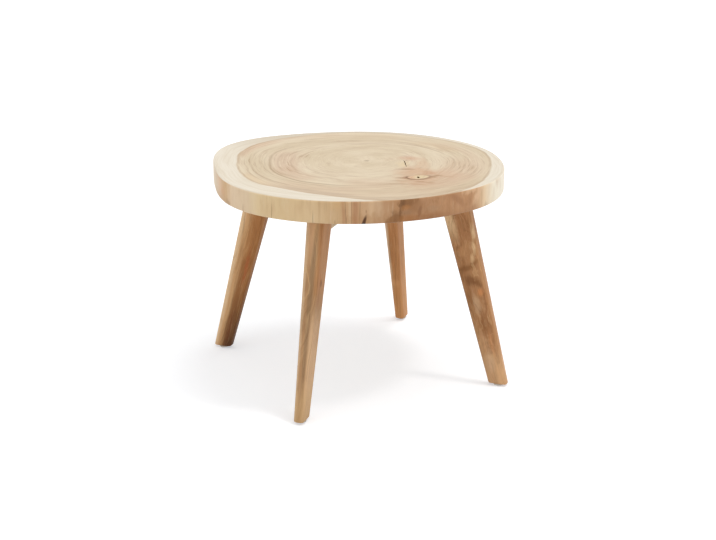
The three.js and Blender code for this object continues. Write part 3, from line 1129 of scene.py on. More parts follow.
# %% The heart's colour
def heart_colour(at):
    """Two tones, patches, lines along the rings, old rings and the pith."""
    colour = tint(ease(at.broad, -0.4, 0.4), paint(211, 192, 161), paint(222, 205, 177))
    for degrees, wide_by, distance, deep_by, tone, strength in heart_patches:
        patch = near_azimuth(at.azimuth, degrees, wide_by) * ease(
            size_of(at.ring - distance + at.streaks * 14.0), deep_by * 1.25, deep_by * 0.35)
        colour = tinted(colour, (patch * (at.streaks * 0.5 + 0.75) * strength, tone))
    # the lines are stronger outside the plain middle
    outer_part = ease(at.ring, 70.0, 180.0) * 0.6 + 0.4
    colour = tinted(
        colour,
        (ease(at.middle, 0.0, 0.5) * outer_part * 0.55, (194, 168, 136)),
        (ease(at.fine, 0.06, 0.5) * outer_part * 0.80, (176, 145, 111)),
        (ease(at.fine, -0.1, -0.55) * 0.60, (234, 220, 194)),
        (ease(at.hair, 0.08, 0.5) * 0.44, (176, 146, 112)),
        (ease(at.hair, -0.12, -0.5) * 0.38, (236, 222, 196)))
    # the old rings show most at the left
    swing = at.azimuth.sum_of("COSINE", at.azimuth + math.radians(140)) * 11.0
    left_side = near_azimuth(at.azimuth, -170, 60) * 0.7 \
        + near_azimuth(at.azimuth, 5, 48) * 0.35 + 0.12
    for distance, thick, strength in old_rings:
        old_ring = ease(size_of(at.ring - swing - distance - at.fine * 5.0), thick, 0.3)
        colour = tinted(colour, (old_ring * left_side * (at.streaks * 0.7 + 0.8) * strength,
                                 (164, 134, 100)))
    # the pith is a small ragged fleck
    fleck = ease(at.out + grain_noise(at.flat, 0.16, 3.0) * 6.0, 8.5, 2.5)
    return tinted(colour, (fleck * 0.7, (168, 142, 112)))


# %% The knot and the marks round it
def with_knot(colour, at):
    """The heart's colour with the knot's marks and its eye, which has a brown outline."""
    wobble = grain_noise(at.flat, 0.06, 3.0) * 0.48 + at.fine * 0.40 + at.hair * 0.28
    for right, back, wide_by, deep_by, tone, strength in knot_marks:
        apart = length_of((at.knot_a - right) * (1.0 / wide_by),
                          (at.knot_b - back) * (1.0 / deep_by))
        mark = ease(apart + wobble, 1.32, 0.30)
        colour = tinted(colour, (mark * (at.streaks * 0.7 + 0.85) * strength, tone))
    # the eye is half a lens and half an oval, 1 at its edge, and lies a little aslant
    eye_b = at.knot_b - at.knot_a * 0.18 - 2.0
    lens = at.knot_a * at.knot_a * (1 / 26.0 ** 2) + size_of(eye_b) * (1 / 17.0)
    oval = length_of(at.knot_a * (1 / 22.0), eye_b * (1 / 16.5))
    eye = lens * 0.5 + oval * 0.5 + grain_noise(at.flat, 0.075, 3.0) * 0.32
    near_side = ease(at.knot_b + at.knot_a * 0.22, 8.0, -5.0) * 0.80 + 0.14
    both_ends = ease(size_of(at.knot_a + 1.0), 17.0, 25.0) * 0.40
    outlined = limited(near_side + both_ends)
    colour = tinted(
        colour,
        (ease(size_of(eye - 1.42), 0.45, 0.0) * outlined * 0.5, (160, 118, 80)),
        (ease(size_of(eye - 1.12), 0.30, 0.05) * outlined * 0.9, (134, 94, 58)))
    pale = tint(ease(at.knot_a, -16.0, 0.0), paint(218, 180, 144), paint(222, 202, 162))
    colour = tint(ease(eye, 1.02, 0.72) * 0.92, colour, pale)
    return tinted(colour, (ease(size_of(eye - 0.52), 0.14, 0.0) * 0.35, (186, 148, 104)))


# %% The sapwood, and the face as a whole
def with_sapwood(colour, at):
    """The heart's colour with the sapwood round it and a dark line at its border."""
    width = wave_sum(at.azimuth, sapwood_mean, [
        (number, size, number * math.radians(crest)) for number, size, crest in sapwood_waves])
    for middle, reach, change in sapwood_changes:
        width = width + near_azimuth(at.azimuth, middle, reach) * change
    border = at.inwards + grain_noise(at.flat, 0.02, 2.0) * 3.0 + at.fine * 1.2 - width
    # the heart is browner just inside the border, on the near side
    browner = within(border, 3.0, 24.0, 4.0) * near_azimuth(at.azimuth, -126, 30)
    colour = tinted(colour, (browner * (at.fine * 0.8 + 0.50), (190, 167, 141)))
    sapwood = tint(ease(at.fine, -0.3, 0.5) * 0.8, paint(232, 222, 204), paint(218, 204, 180))
    sapwood = tinted(sapwood, (near_azimuth(at.azimuth, 75, 50) * 0.8, (206, 192, 170)))
    colour = tint(ease(border, 2.0, -3.0), colour, sapwood)
    return tinted(colour, (ease(size_of(border - 2.0), 4.5, 0.0) * (at.fine * 0.5 + 0.45),
                           (180, 150, 116)))


def face_grain(x, y):
    """Colour and relief of the sawn faces, with tiny dark pores all over."""
    at = face_places(x, y)
    add_ring_lines(at)
    colour = with_sapwood(with_knot(heart_colour(at), at), at)
    pores = ease(grain_noise(at.flat, 0.9, 1.0), 0.38, 0.62)
    colour = tinted(colour, (pores * 0.22, (160, 130, 98)))
    return colour, at.fine * 0.35 + at.hair * 0.25 - pores * 0.8


# %% [markdown]
# ## Long grain on the side of the slice
# The side is where the bark was. Its grain runs upright, and its colour changes as one
# walks round: pale sapwood, tan and yellowish patches, and a brown belt where the saw
# went past the sapwood into the heart. A colour ramp round the trunk holds these
# patches, and noise that is stretched along the height draws the grain over it.

# %% Side grain colour
side_tones = [
    (-180, (226, 191, 154)), (-175, (217, 180, 135)), (-171, (212, 171, 121)),
    (-166, (233, 206, 172)), (-158, (230, 205, 171)), (-150, (232, 206, 161)),
    (-141, (224, 194, 148)), (-131, (226, 196, 152)), (-123, (208, 173, 129)),
    (-117, (203, 161, 119)), (-111, (206, 166, 126)), (-106, (191, 147, 107)),
    (-99, (181, 133, 90)), (-94, (171, 128, 89)), (-88, (181, 138, 100)),
    (-80, (184, 137, 97)), (-74, (192, 144, 102)), (-68, (206, 160, 118)),
    (-62, (236, 207, 168)), (-54, (249, 238, 215)), (-30, (250, 241, 224)),
    (0, (238, 224, 202)), (25, (224, 198, 160)), (48, (232, 214, 184)),
    (75, (208, 174, 134)), (98, (200, 162, 122)), (115, (224, 198, 160)),
    (140, (236, 218, 190)), (160, (234, 216, 190)), (172, (223, 199, 168)),
    (180, (226, 191, 154)),
]

# Marks in the side: degrees round, height, reach both ways, slant in degrees for each mm
# of height, tone and strength.
side_marks = [
    (-97.4, 43, 3.2, 13, 0.04, (116, 74, 30), 0.62),
    (-99.2, 38, 1.0, 12, 0.00, (92, 54, 16), 0.50),
    (-99.9, 22, 0.45, 15, 0.00, (104, 64, 20), 0.52),
    (-101.8, 9, 2.6, 16, 0.08, (112, 68, 20), 0.62),
    (-94.6, 30, 3.4, 15, 0.00, (140, 92, 50), 0.45),
    (-97.9, 29, 1.6, 5, 0.00, (190, 128, 72), 0.45),
    (-97.2, 19, 2.2, 7, 0.00, (140, 108, 78), 0.42),
    (-96.6, 7, 3.0, 9, 0.00, (164, 102, 46), 0.50),
    (-92.4, 18, 0.6, 10, 0.03, (130, 80, 44), 0.45),
    (-109.5, 6, 8.0, 17, 0.00, (164, 114, 64), 0.36),
    (-87.5, 22, 3.6, 6, 0.00, (160, 128, 98), 0.28),
    (-88.0, 6, 5.5, 8, 0.00, (150, 96, 50), 0.45),
    (-76.5, 32, 1.8, 18, -0.20, (142, 92, 58), 0.32),
    (-70.4, 24, 1.0, 10, 0.00, (124, 76, 44), 0.22),
    (-60.8, 4, 1.2, 8, 0.00, (176, 144, 110), 0.40),
    (-63.6, 20, 0.5, 22, 0.00, (188, 148, 110), 0.30),
    (-66.5, 32, 1.4, 18, 0.05, (236, 198, 160), 0.45),
    (-70.0, 45, 3.8, 7, 0.00, (226, 186, 146), 0.60),
    (-175.0, 24, 2.6, 9, 0.00, (216, 164, 120), 0.45),
    (-170.0, 5, 2.0, 7, 0.00, (150, 112, 74), 0.36),
    (-122.0, 40, 2.4, 10, 0.00, (220, 178, 124), 0.35),
    (-112.0, 26, 0.35, 7, 0.00, (140, 94, 54), 0.60),
]

# Upright stripes beside the bark pocket, reddish or pale: degrees round, reach both ways,
# tone and strength.
side_stripes = [
    (-120.0, 1.2, (176, 122, 84), 0.55), (-115.8, 1.5, (170, 114, 76), 0.60),
    (-117.8, 0.8, (226, 196, 156), 0.45), (-110.3, 1.3, (224, 192, 152), 0.45),
    (-128.0, 0.7, (186, 142, 100), 0.22), (-119.2, 0.3, (122, 80, 46), 0.50),
    (-117.1, 0.3, (134, 86, 52), 0.42), (-114.2, 0.3, (150, 108, 68), 0.40),
]

# Thin checks that rise from the lower edge: degrees round, and how high they reach.
side_checks = [(-159.3, 22.0), (-145.8, 40.0), (-130.3, 32.0), (-122.7, 12.0),
               (60.0, 26.0), (131.0, 20.0)]
mm_each_degree = mean_radius / MM * math.pi / 180


# %% Where a point of the side lies
def side_places(x, y, z):
    """What the side's colours are drawn from: degrees round, height, and its noises."""
    at = SimpleNamespace(azimuth=x.sum_of("ARCTAN2", y, x) * (180 / math.pi),
                         height=z - slice_bottom / MM)
    streaky = vector_of(x, y, z * 0.06)
    patchy = vector_of(x, y, z * 0.45)
    at.wander = grain_noise(patchy, 0.018, 2.0) * 3.5 + grain_noise(streaky, 0.10, 2.0) * 0.8
    at.cloud = grain_noise(patchy, 0.022, 3.0, 0.6)
    at.streak = grain_noise(vector_of(x, y, z * 0.11), 0.11, 3.0, 0.65)
    at.thread = grain_noise(streaky, 0.50, 2.0, 0.6)
    at.ragged = grain_noise(vector_of(x, y, z * 0.55), 0.085, 3.0, 0.65)
    return at


# %% Patches and stripes
def side_ground(at):
    """The ramp's patches under clouds, streaks and threads, and the upright stripes."""
    stops = [((degrees + 180) / 360, paint(*tone)) for degrees, tone in side_tones]
    colour = at.azimuth.node("ShaderNodeValToRGB", {"stops": stops},
                             {"Fac": (at.azimuth + at.wander + 180.0) / 360.0})
    some = ease(at.cloud, -0.3, 0.4)
    colour = tinted(
        colour,
        (ease(at.cloud, 0.0, 0.5) * 0.30, (198, 156, 112)),
        (ease(at.cloud, 0.0, -0.5) * 0.30, (240, 222, 190)),
        (ease(at.streak, 0.05, 0.5) * (some * 0.20 + 0.03), (176, 134, 92)),
        (ease(at.streak, -0.05, -0.5) * 0.18, (242, 226, 196)),
        (ease(at.thread, 0.12, 0.5) * (some * 0.16 + 0.03), (156, 116, 80)))
    for middle, reach, tone, strength in side_stripes:
        off_middle = at.azimuth - middle + at.wander * 0.35 + at.thread * 0.4
        stripe = ease(size_of(off_middle), reach, reach * 0.2)
        colour = tinted(colour, (stripe * strength * (at.streak * 0.6 + 0.85), tone))
    return colour


# %% The brown belt and the marks
def with_belt(colour, at):
    """The side's colour with the brown belt, whose left edge slants out near the bottom."""
    left_edge = at.azimuth + 100.0 + ease(at.height, 28.0, 4.0) * 4.6 + at.wander * 0.4
    right_edge = at.azimuth + at.height * (5.0 / 48.0) + at.wander * 0.5
    belt = ease(left_edge, -0.8, 1.4) * ease(right_edge, -61.5, -68.5)
    far_side = ease(size_of(at.azimuth), 163.0, 176.0)
    return tinted(
        colour,
        (belt * 0.5, (186, 136, 94)),
        (belt * ease(at.ragged, 0.0, 0.4) * 0.40, (158, 108, 66)),
        (belt * ease(at.ragged, 0.0, -0.4) * 0.35, (206, 156, 112)),
        (belt * ease(at.streak, 0.0, 0.45) * 0.30, (152, 102, 64)),
        (belt * ease(at.thread, 0.1, 0.5) * 0.22, (146, 98, 62)),
        (belt * ease(at.height, 22.0, 2.0) * 0.22, (138, 92, 56)),
        (far_side * ease(at.height, 26.0, 4.0) * 0.30, (176, 138, 102)))


def with_side_marks(colour, at):
    """The side's colour with its marks, the dark bark and painted shade round the bark pocket,
    and the checks.
    """
    for middle, level, reach, tall, slant, tone, strength in side_marks:
        off_round = at.azimuth - middle - (at.height - level) * slant
        apart = length_of(off_round * (1.0 / reach), (at.height - level) * (1.0 / tall))
        mark = ease(apart + at.ragged * 1.3 + at.streak * 0.6, 1.45, 0.3)
        colour = tinted(colour, (mark * strength, tone))
    # Round the bark pocket its dark bark and painted shade of the hollow are laid as one dark
    # patch.
    by_pocket = (at.azimuth + 113.0) * mm_each_degree - at.height * 0.29
    pocket = ease(length_of(by_pocket * 0.3, at.height * 0.0632), 1.5, 0.7)
    colour = tinted(colour, (pocket * 0.95, (76, 40, 9)))
    for middle, top in side_checks:
        off_check = (at.azimuth - middle) * mm_each_degree - at.streak * 2.0
        check = ease(size_of(off_check), 1.4, 0.3) * ease(at.height, top, top * 0.3)
        colour = tinted(colour, (check * 0.45, (136, 98, 60)))
    return colour


# %% Join face and side, and fill the slice's materials
def side_grain(x, y, z):
    """Colour and relief of the debarked side."""
    at = side_places(x, y, z)
    colour = with_side_marks(with_belt(side_ground(at), at), at)
    return colour, at.streak * 0.7 + at.thread * 0.5


def slice_material():
    """End grain where the slice faces up or down, and long grain on its side and edges."""
    wide, (x, y, z) = in_millimetres(slice_finish)
    face_colour, face_relief = face_grain(x, y)
    side_colour, side_relief = side_grain(x, y, z)
    facing = x.node("ShaderNodeNewGeometry", None, None, "Normal")
    upright = x.node("ShaderNodeSeparateXYZ", None, {"Vector": facing}, "Z")
    sawn = ease(upright, 0.45, 0.8) + ease(upright, -0.88, -0.98)
    finish_with(slice_finish, tint(sawn, side_colour, face_colour),
                grain_noise(wide, 0.03, 2.0) * 0.06 + 0.56,
                side_relief * (1.0 - sawn) + face_relief * sawn, 0.00012,
                {"Specular IOR Level": 0.35})


def plain_wood_material(material, dark, light, upper=None, roughness=0.75):
    """Wood inside a crack or a bore: two tones in fine noise, and one under the top. In a crack
    the two tones are painted shade.
    """
    wide, (x, y, z) = in_millimetres(material)
    mottle = grain_noise(wide, 0.5, 3.0)
    colour = tint(ease(mottle, -0.4, 0.5), paint(*dark), paint(*light))
    if upper:
        top = slice_top / MM
        colour = tinted(colour, (ease(z, top - 5.0, top - 2.5), upper))
    finish_with(material, colour, roughness, mottle, 0.0002, {"Specular IOR Level": 0.1})


slice_material()
# The crack walls: nearly black painted shade in their depth, and the wood's darker brown in a
# band under the top.
plain_wood_material(crack_walls_shaded, (40, 20, 3), (60, 32, 7), (108, 75, 42))
plain_wood_material(bore_finish, (150, 118, 84), (190, 160, 124))

# %% [markdown]
# ## Long grain on the legs
# The legs are a mid brown hardwood, sawn lengthwise and oiled. On each face the grain
# runs with the leg, opens into long arches, and is flecked with short dark pores. A
# wave texture gives even stripes. Here the leg is cut, in thought, from a log that
# lies beside it: the distance from that log's wandering middle makes the rings, and
# their cut through the leg makes straight lines on one face and arches on the next.

# %% A leg's own frame
def leg_frame(corner):
    """Place and turn of a frame whose Z runs up the leg and whose X points outwards."""
    foot = Vector((leg_sections[0]["reach"], 0, 0))
    head = Vector((leg_sections[1]["reach"], 0, slice_bottom))
    up = (head - foot).normalized()
    out = Vector((0, 1, 0)).cross(up).normalized()
    local = Matrix((out, up.cross(out), up)).transposed().to_4x4()
    turn = Matrix.Rotation(corner_turns[corner], 4, "Z")
    return turn @ foot, (turn @ local).to_euler()


leg_looks = {
    # where the log's middle lies beside the leg, a seed, and the three tones of its wood
    "front_left": dict(log=(-120.0, 26.0), seed=4.0, figure=0.20,
                       tones=((192, 150, 108), (178, 134, 94), (212, 174, 128))),
    "front_right": dict(log=(6.0, 44.0), seed=19.0, figure=0.9,
                        tones=((190, 140, 96), (170, 118, 76), (216, 174, 130))),
    "back_right": dict(log=(30.0, -34.0), seed=37.0, figure=0.35,
                       tones=((202, 148, 98), (188, 132, 84), (214, 166, 118))),
    "back_left": dict(log=(-26.0, -52.0), seed=53.0, figure=0.30,
                      tones=((178, 122, 72), (160, 106, 58), (196, 146, 96))),
}

# Strips of each leg, by their share of its depth or width from one side to the other (0
# is the middle line): low and high end, softness, lowest and highest point up the leg
# and the softness there in mm, tone and strength. Depth runs outwards from the table's
# middle, and width across. Some strips are painted light and shade, as marked.
leg_strips = {
    "front_left": [
        # Painted light: the left side is paler, as lit from the left.
        ("width", -0.70, -0.24, 0.08, -20, 450, 30, (222, 188, 150), 0.75),
        ("width", 0.00, 0.26, 0.07, 70, 400, 50, (150, 122, 90), 0.60),
        ("width", -0.30, 0.10, 0.08, 345, 470, 30, (222, 176, 134), 0.60),
        ("width", -0.05, 0.75, 0.10, 205, 290, 40, (150, 114, 76), 0.35),
        # Painted shade of the slab on the upper part of the right side.
        ("width", 0.34, 0.70, 0.08, 260, 450, 40, (200, 136, 82), 0.45),
        # Painted light on the lower part of the right side, below the slab's shadow.
        ("width", 0.30, 0.70, 0.10, 0, 225, 50, (230, 192, 152), 0.65),
        ("width", -0.70, 0.70, 0.10, -60, 66, 40, (206, 170, 120), 0.45),
    ],
    "front_right": [
        ("depth", -0.90, -0.12, 0.12, 352, 470, 26, (236, 202, 158), 0.88),
        # These two: painted shade on the inner side, which faces the shade under the slab.
        ("depth", -0.90, -0.02, 0.15, 160, 318, 40, (150, 104, 64), 0.30),
        ("depth", -0.90, -0.24, 0.10, 20, 200, 40, (150, 106, 68), 0.50),
        ("depth", 0.40, 0.90, 0.04, -20, 450, 30, (200, 148, 100), 0.30),
        ("depth", -0.90, 0.90, 0.20, -60, 84, 36, (222, 180, 136), 0.55),
        ("depth", 0.12, 0.42, 0.10, -60, 60, 30, (240, 190, 138), 0.50),
    ],
    "back_right": [
        ("depth", -0.52, 0.02, 0.10, -20, 450, 30, (188, 128, 80), 0.50),
        ("width", -0.10, 0.14, 0.08, 40, 450, 50, (204, 140, 86), 0.40),
        ("depth", -0.10, 0.22, 0.10, 150, 450, 60, (186, 128, 80), 0.40),
        ("depth", -0.80, 0.80, 0.20, -60, 160, 90, (218, 158, 102), 0.50),
        ("width", 0.22, 0.80, 0.08, 120, 480, 60, (228, 196, 162), 0.78),
    ],
    "back_left": [
        # These two: sapwood on the outer side, and painted light from the left that brightens the
        # outer half.
        ("depth", 0.02, 0.90, 0.12, -20, 450, 30, (222, 176, 126), 0.76),
        ("depth", 0.26, 0.90, 0.08, -20, 450, 30, (240, 206, 164), 0.80),
        # These two: painted shade under the slab, darkest low on the inner side.
        ("depth", -0.90, 0.04, 0.20, -300, 72, 240, (50, 17, 0), 0.94),
        ("depth", -0.90, -0.20, 0.14, -300, 52, 160, (38, 10, 0), 0.66),
    ],
}

# Marks inside each leg: outwards, across and up from its foot, the reach in the same
# three ways, a slant up the leg, the tone and the strength. Millimetres.
leg_marks = {
    "front_left": [
        (4, 18, 292, 7, 9, 9, 0.3, (110, 66, 32), 0.85),
        (9, 18, 300, 5, 9, 16, 1.0, (196, 126, 72), 0.60),
        (8, 18, 262, 4, 9, 30, 0.0, (150, 96, 58), 0.40),
        (-10, 18, 190, 5, 9, 60, 0.0, (164, 116, 76), 0.40),
        (24, -2, 60, 9, 5, 40, 0.0, (182, 146, 110), 0.40),
    ],
    "front_right": [
        (-8, -18, 279, 24, 12, 8, 0.14, (130, 84, 42), 0.66),
        (14, -18, 287, 12, 12, 6, 0.45, (140, 92, 50), 0.55),
        (-20, -18, 268, 9, 12, 18, 0.0, (134, 88, 46), 0.45),
        (-2, -18, 249, 20, 12, 13, -0.25, (118, 72, 34), 0.66),
        (12, -18, 240, 10, 12, 9, -0.5, (130, 82, 40), 0.50),
        (-14, -18, 208, 8, 12, 30, 0.0, (138, 92, 52), 0.45),
        (13, -18, 220, 9, 12, 10, 0.3, (222, 148, 90), 0.66),
        (-3, -18, 190, 9, 12, 34, 0.0, (214, 178, 140), 0.58),
        (3, -18, 148, 12, 12, 28, 0.3, (142, 92, 50), 0.60),
        (27, -15, 356, 5, 9, 18, 0.0, (238, 204, 158), 0.75),
        (22, -18, 322, 4.5, 12, 17, 0.8, (238, 202, 154), 0.75),
        (13, -18, 299, 5.5, 12, 11, 0.8, (232, 194, 146), 0.70),
        (-3, -18, 318, 12, 12, 16, 0.9, (208, 158, 110), 0.50),
        (-12, -18, 108, 12, 12, 26, 0.6, (216, 170, 126), 0.50),
        (-2, -18, 60, 12, 12, 30, 0.5, (228, 192, 156), 0.40),
        (10, -18, 100, 5, 12, 40, 0.0, (214, 150, 98), 0.50),
    ],
    "back_right": [
        (-24, -4, 300, 9, 5, 60, 0.0, (216, 154, 104), 0.45),
        (-24, 4, 215, 9, 5, 46, 0.0, (156, 102, 62), 0.35),
        (-24, 0, 120, 9, 14, 14, 0.0, (226, 168, 118), 0.35),
    ],
    "back_left": [
        (-2, 18, 300, 6, 12, 70, 0.0, (196, 144, 92), 0.35),
        (-14, 18, 215, 5, 12, 50, 0.4, (182, 92, 48), 0.50),
        (8, 18, 250, 4, 12, 60, 0.0, (142, 96, 52), 0.30),
        (-8, 18, 60, 5, 12, 50, 0.0, (120, 60, 26), 0.50),
    ],
}


# %% Where a point of a leg lies
def leg_places(material, corner):
    """A point's place in the leg, the log's rings there, and the lines and fibres."""
    look = leg_looks[corner]
    seed = look["seed"]
    out, across, up = in_millimetres(material, *leg_frame(corner))[1]
    bend_out = grain_noise(vector_of(up * 0.006, seed, 0.0), 1.0, 1.0) * 16.0
    bend_across = grain_noise(vector_of(up * 0.005, 0.0, seed), 1.0, 1.0) * 14.0

    def grain(round_scale, up_scale, detail, roughness=0.5):
        """Noise that is stretched along the leg."""
        place = vector_of(out * round_scale, across * round_scale, up * up_scale + seed)
        return grain_noise(place, 1.0, detail, roughness)

    figure = grain(0.035, 0.016, 3.0, 0.6)
    log_out, log_across = look["log"]
    ring = length_of(out - log_out + bend_out, across - log_across + bend_across) \
        + figure * (7.0 * look["figure"])
    return SimpleNamespace(
        out=out, across=across, up=up, figure=figure,
        band=grain_noise(vector_of(ring * 0.16 + seed, up * 0.0015, 0.0), 1.0, 2.0, 0.6),
        line=grain_noise(vector_of(ring * 0.55 + seed, up * 0.004, 0.0), 1.0, 3.0, 0.65),
        fibre=grain(0.8, 0.022, 2.0), ragged=grain(0.09, 0.05, 4.0, 0.65),
        pores=ease(grain(2.4, 0.10, 1.0), 0.30, 0.60))


# %% Strips and marks
leg_foot, leg_head = leg_sections


def with_strips(colour, at, strips):
    """The leg's colour with its strips, which are laid by shares of its tapering sizes."""
    shares = {}
    for axis, place, waver in (("depth", at.out, 0.02), ("width", at.across, 0.03)):
        taper = (leg_head[axis] - leg_foot[axis]) / leg_head["height"]
        shares[axis] = place / (at.up * taper + leg_foot[axis] / MM) + at.line * waver
    for axis, low, high, soft, lowest, highest, fade, tone, strength in strips:
        strip = within(shares[axis] + at.figure * 0.06, low, high, soft) \
            * within(at.up + at.figure * 40.0, lowest, highest, fade)
        colour = tinted(colour, (strip * strength, tone))
    return colour


def with_leg_marks(colour, at, marks):
    """The leg's colour with its marks, each with a ragged edge."""
    wobble = at.figure * 0.45 + at.ragged * 0.75
    for out, across, up, deep, wide_by, tall, slant, tone, strength in marks:
        off_out = at.out - out
        apart = length_of(off_out * (1.0 / deep), (at.across - across) * (1.0 / wide_by),
                          (at.up - up - off_out * slant) * (1.0 / tall))
        colour = tinted(colour, (ease(apart + wobble, 1.35, 0.3) * strength, tone))
    return colour


# %% Leg colour
def leg_material(corner):
    """One leg's oiled wood: bands and figure, strips of tone and of painted light and shade,
    marks, lines, fibres and pores.
    """
    material = bare_material(f"oiled_leg_{corner}")
    at = leg_places(material, corner)
    main, dark, light = leg_looks[corner]["tones"]
    strong = 0.45 * leg_looks[corner]["figure"]
    colour = tint(ease(at.band, -0.4, 0.45), paint(*main), paint(*dark))
    colour = tinted(colour, (ease(at.figure, 0.0, -0.5) * (0.25 + strong), light),
                    (ease(at.figure, 0.05, 0.5) * (0.15 + strong), dark))
    colour = with_strips(colour, at, leg_strips[corner])
    colour = with_leg_marks(colour, at, leg_marks[corner])
    colour = tinted(
        colour,
        (ease(at.line, 0.02, 0.45) * 0.50, (116, 74, 38)),
        (ease(at.line, -0.08, -0.45) * 0.42, (228, 186, 134)),
        (ease(at.fibre, 0.10, 0.5) * 0.34, (118, 78, 44)),
        (ease(at.fibre, -0.10, -0.5) * 0.24, (230, 190, 142)),
        (at.pores * 0.30, (98, 64, 38)))
    finish_with(material, colour, at.line * 0.05 + 0.55,
                at.line * 0.4 + at.fibre * 0.4 - at.pores * 0.9, 0.0001,
                {"Specular IOR Level": 0.20})
    return material


def wear(piece, material):
    """The piece's main material, kept apart from the walls of its holes."""
    if piece.data.materials:
        piece.data.materials[0] = material
    else:
        piece.data.materials.append(material)


for corner, leg in legs.items():
    wear(leg, leg_material(corner))

# %% [markdown]
# ## Pale wood of the blocks
# The blocks are cut from a plain, pale, straight-grained wood. Fine lines along their
# length and a few darker pores are enough, because they sit in the shade under the top.

# %% Block colour
def block_material(corner):
    """One block's wood, with its grain along the block."""
    material = bare_material(f"pale_block_wood_{corner}")
    out, across, up = in_millimetres(material, turn=(0, 0, corner_turns[corner]))[1]
    line = grain_noise(vector_of(out * 0.02, across * 0.30, up * 0.30), 1.0, 3.0, 0.6)
    fibre = grain_noise(vector_of(out * 0.05, across * 1.3, up * 1.3), 1.0, 2.0)
    colour = tint(ease(line, -0.4, 0.5), paint(222, 200, 166), paint(204, 178, 140))
    colour = tinted(colour, (ease(fibre, 0.15, 0.6) * 0.3, (176, 146, 108)))
    finish_with(material, colour, fibre * 0.05 + 0.66, line * 0.5 + fibre * 0.5, 0.00012)
    return material


for corner, block in blocks.items():
    wear(block, block_material(corner))

# %% [markdown]
# ## Metal and plastic
# Zinc-plated steel is a slightly blue grey with a cloudy sheen. The inserts are brass,
# and they are CAD nodes that keep their shape, because the slice and the blocks hide
# them. The glides are milky plastic that lets a little light into it. Each gets small
# changes in colour and gloss, since no used surface is perfectly even, and the glides
# get painted shade where they meet the feet.

# %% Steel and brass
def metal_material(name, tone, bright, roughness):
    """A metal with a cloudy sheen and fine scuffs."""
    material = bare_material(name)
    wide, (x, y, z) = in_millimetres(material)
    cloud = grain_noise(wide, 0.35, 3.0)
    scuff = grain_noise(vector_of(x * 3.0, y * 3.0, z * 0.4), 1.0, 2.0)
    finish_with(material, tint(ease(cloud, -0.5, 0.5), paint(*tone), paint(*bright)),
                cloud * 0.08 + scuff * 0.05 + roughness, scuff, 0.00003, {"Metallic": 1.0})
    return material


zinc = metal_material("zinc_plated_steel", (176, 180, 186), (206, 208, 208), 0.34)
brass = metal_material("turned_brass", (190, 150, 78), (214, 178, 104), 0.36)
for piece in steel_pieces:
    wear(piece, zinc)
for corner in corner_turns:
    for place in ("inner", "outer"):
        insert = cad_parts[f"threaded_insert_{place}_{corner}"]
        for material_slot in insert.material_slots:
            material_slot.material = brass

# %% Plastic
# The glide is greyer in patches near the floor, and painted shade darkens it towards the top,
# where it meets the foot.
plastic = bare_material("milky_glide_plastic")
wide, (x, y, z) = in_millimetres(plastic)
haze = grain_noise(wide, 0.25, 2.0)
milk = tint(ease(haze, -0.5, 0.5), paint(226, 220, 208), paint(236, 232, 224))
milk = tinted(milk, (ease(z, 1.8, 4.4) * 0.75, (176, 156, 136)),
              (ease(z + haze, 1.6, 0.0) * 0.4, (196, 188, 174)))
finish_with(plastic, milk, haze * 0.06 + 0.34, haze, 0.00003,
            {"Subsurface Weight": 0.35, "Subsurface Radius": (0.004, 0.0038, 0.0034),
             "Subsurface Scale": 1.0, "Coat Weight": 0.15})
for glide in glides:
    wear(glide, plastic)

# %% [markdown]
# ## Floor, light and world
# The table stands in a white studio. The floor is a large plane whose material adds a
# little plain white to its lit surface for the camera, so the soft shadow stays and the
# ground runs into the background with no horizon. Two suns stand high on the right and
# throw the slice's shadow to the left, one of them wide to soften it. Three very wide
# ones brighten the sides, and the white world fills the shadows. Area lamps would fall
# off over such a wide floor.

# %% Floor
floor_width = 60           # metres, so its edges lie far behind the table
floor_drop = 0.2 * MM      # just under the glides
begin()
bpy.ops.mesh.primitive_plane_add(size=floor_width, location=(0, 0, -floor_drop))
floor = take("studio_floor")
floor_finish = bare_material("studio_floor_white")
floor.data.materials.append(floor_finish)


def plainly_seen(start):
    """1 for the camera and for rays that mirrors and clear pieces send on, otherwise 0."""
    rays = start.node("ShaderNodeLightPath").all_outputs()
    return limited(rays["Is Camera Ray"] + rays["Is Glossy Ray"] + rays["Is Transmission Ray"])


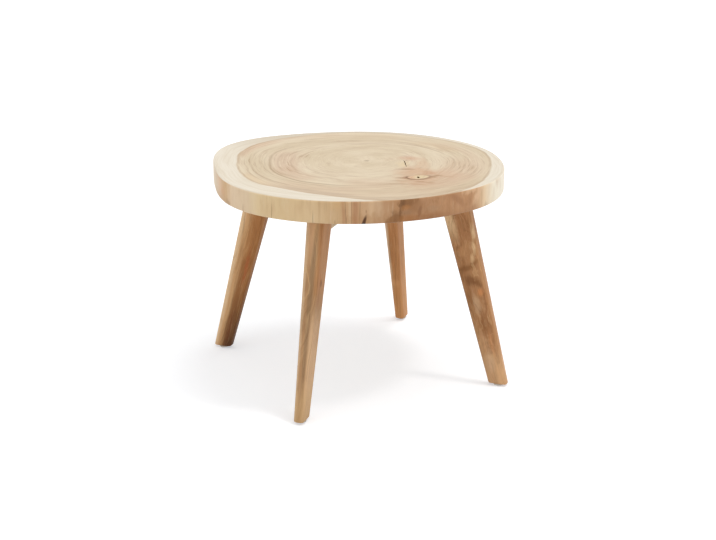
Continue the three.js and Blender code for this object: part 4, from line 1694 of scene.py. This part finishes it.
floor_glow_share = 0.20
start = Strand(floor_finish.node_tree)
seen = plainly_seen(start)
albedo = tint(seen, (0.8, 0.8, 0.8, 1.0), (1.0, 1.0, 1.0, 1.0))
matte = start.node("ShaderNodeBsdfDiffuse", None, {"Color": albedo})
glow = start.node("ShaderNodeEmission", None, {"Color": (0.90, 0.94, 1.0, 1.0), "Strength": 2.09})
blend = start.node("ShaderNodeMixShader", None, {0: seen * floor_glow_share, 1: matte, 2: glow})
start.node("ShaderNodeOutputMaterial", None, {"Surface": blend}, None)
print("the floor glows by a share of", floor_glow_share)

# %% World
fill_level = 0.52
world = bpy.data.worlds.new("white_studio")
bpy.context.scene.world = world
world.use_nodes = True
world.node_tree.nodes.clear()
start = Strand(world.node_tree)
level = plainly_seen(start) * (1.0 - fill_level) + fill_level
sky = start.node("ShaderNodeBackground", None, {"Color": (1.0, 1.0, 1.0, 1.0), "Strength": level})
start.node("ShaderNodeOutputWorld", None, {"Surface": sky}, None)
print("world fills at", fill_level)

# %% Lamps
view_right = camera_aim.cross(Vector((0, 0, 1))).normalized()
view_back = Vector((camera_aim.x, camera_aim.y, 0)).normalized()
# Each sun: how far to the right, back and up it stands as the camera sees it, its spread
# in degrees, which softens its shadow, and its strength.
suns = {
    "key_light": (0.40, -0.14, 0.91, 9, 0.50),
    "overhead_light": (0.19, 0.045, 0.98, 20, 0.54),
    "left_light": (-0.94, 0.05, 0.34, 120, 0.60),
    "right_light": (0.94, 0.05, 0.34, 120, 0.52),
    "front_light": (0.0, -0.92, 0.40, 120, 0.35),
}
for name, (right, back, up, spread, strength) in suns.items():
    data = bpy.data.lights.new(name, "SUN")
    data.angle = math.radians(spread)
    data.energy = strength
    lamp = bpy.data.objects.new(name, data)
    towards = view_right * right + view_back * back + Vector((0, 0, up))
    lamp.location = towards.normalized() * 3
    lamp.rotation_euler = (-towards).to_track_quat("-Z", "Y").to_euler()
    bpy.context.collection.objects.link(lamp)
bpy.context.scene.view_settings.view_transform = "Standard"
print("lamps:", list(suns))
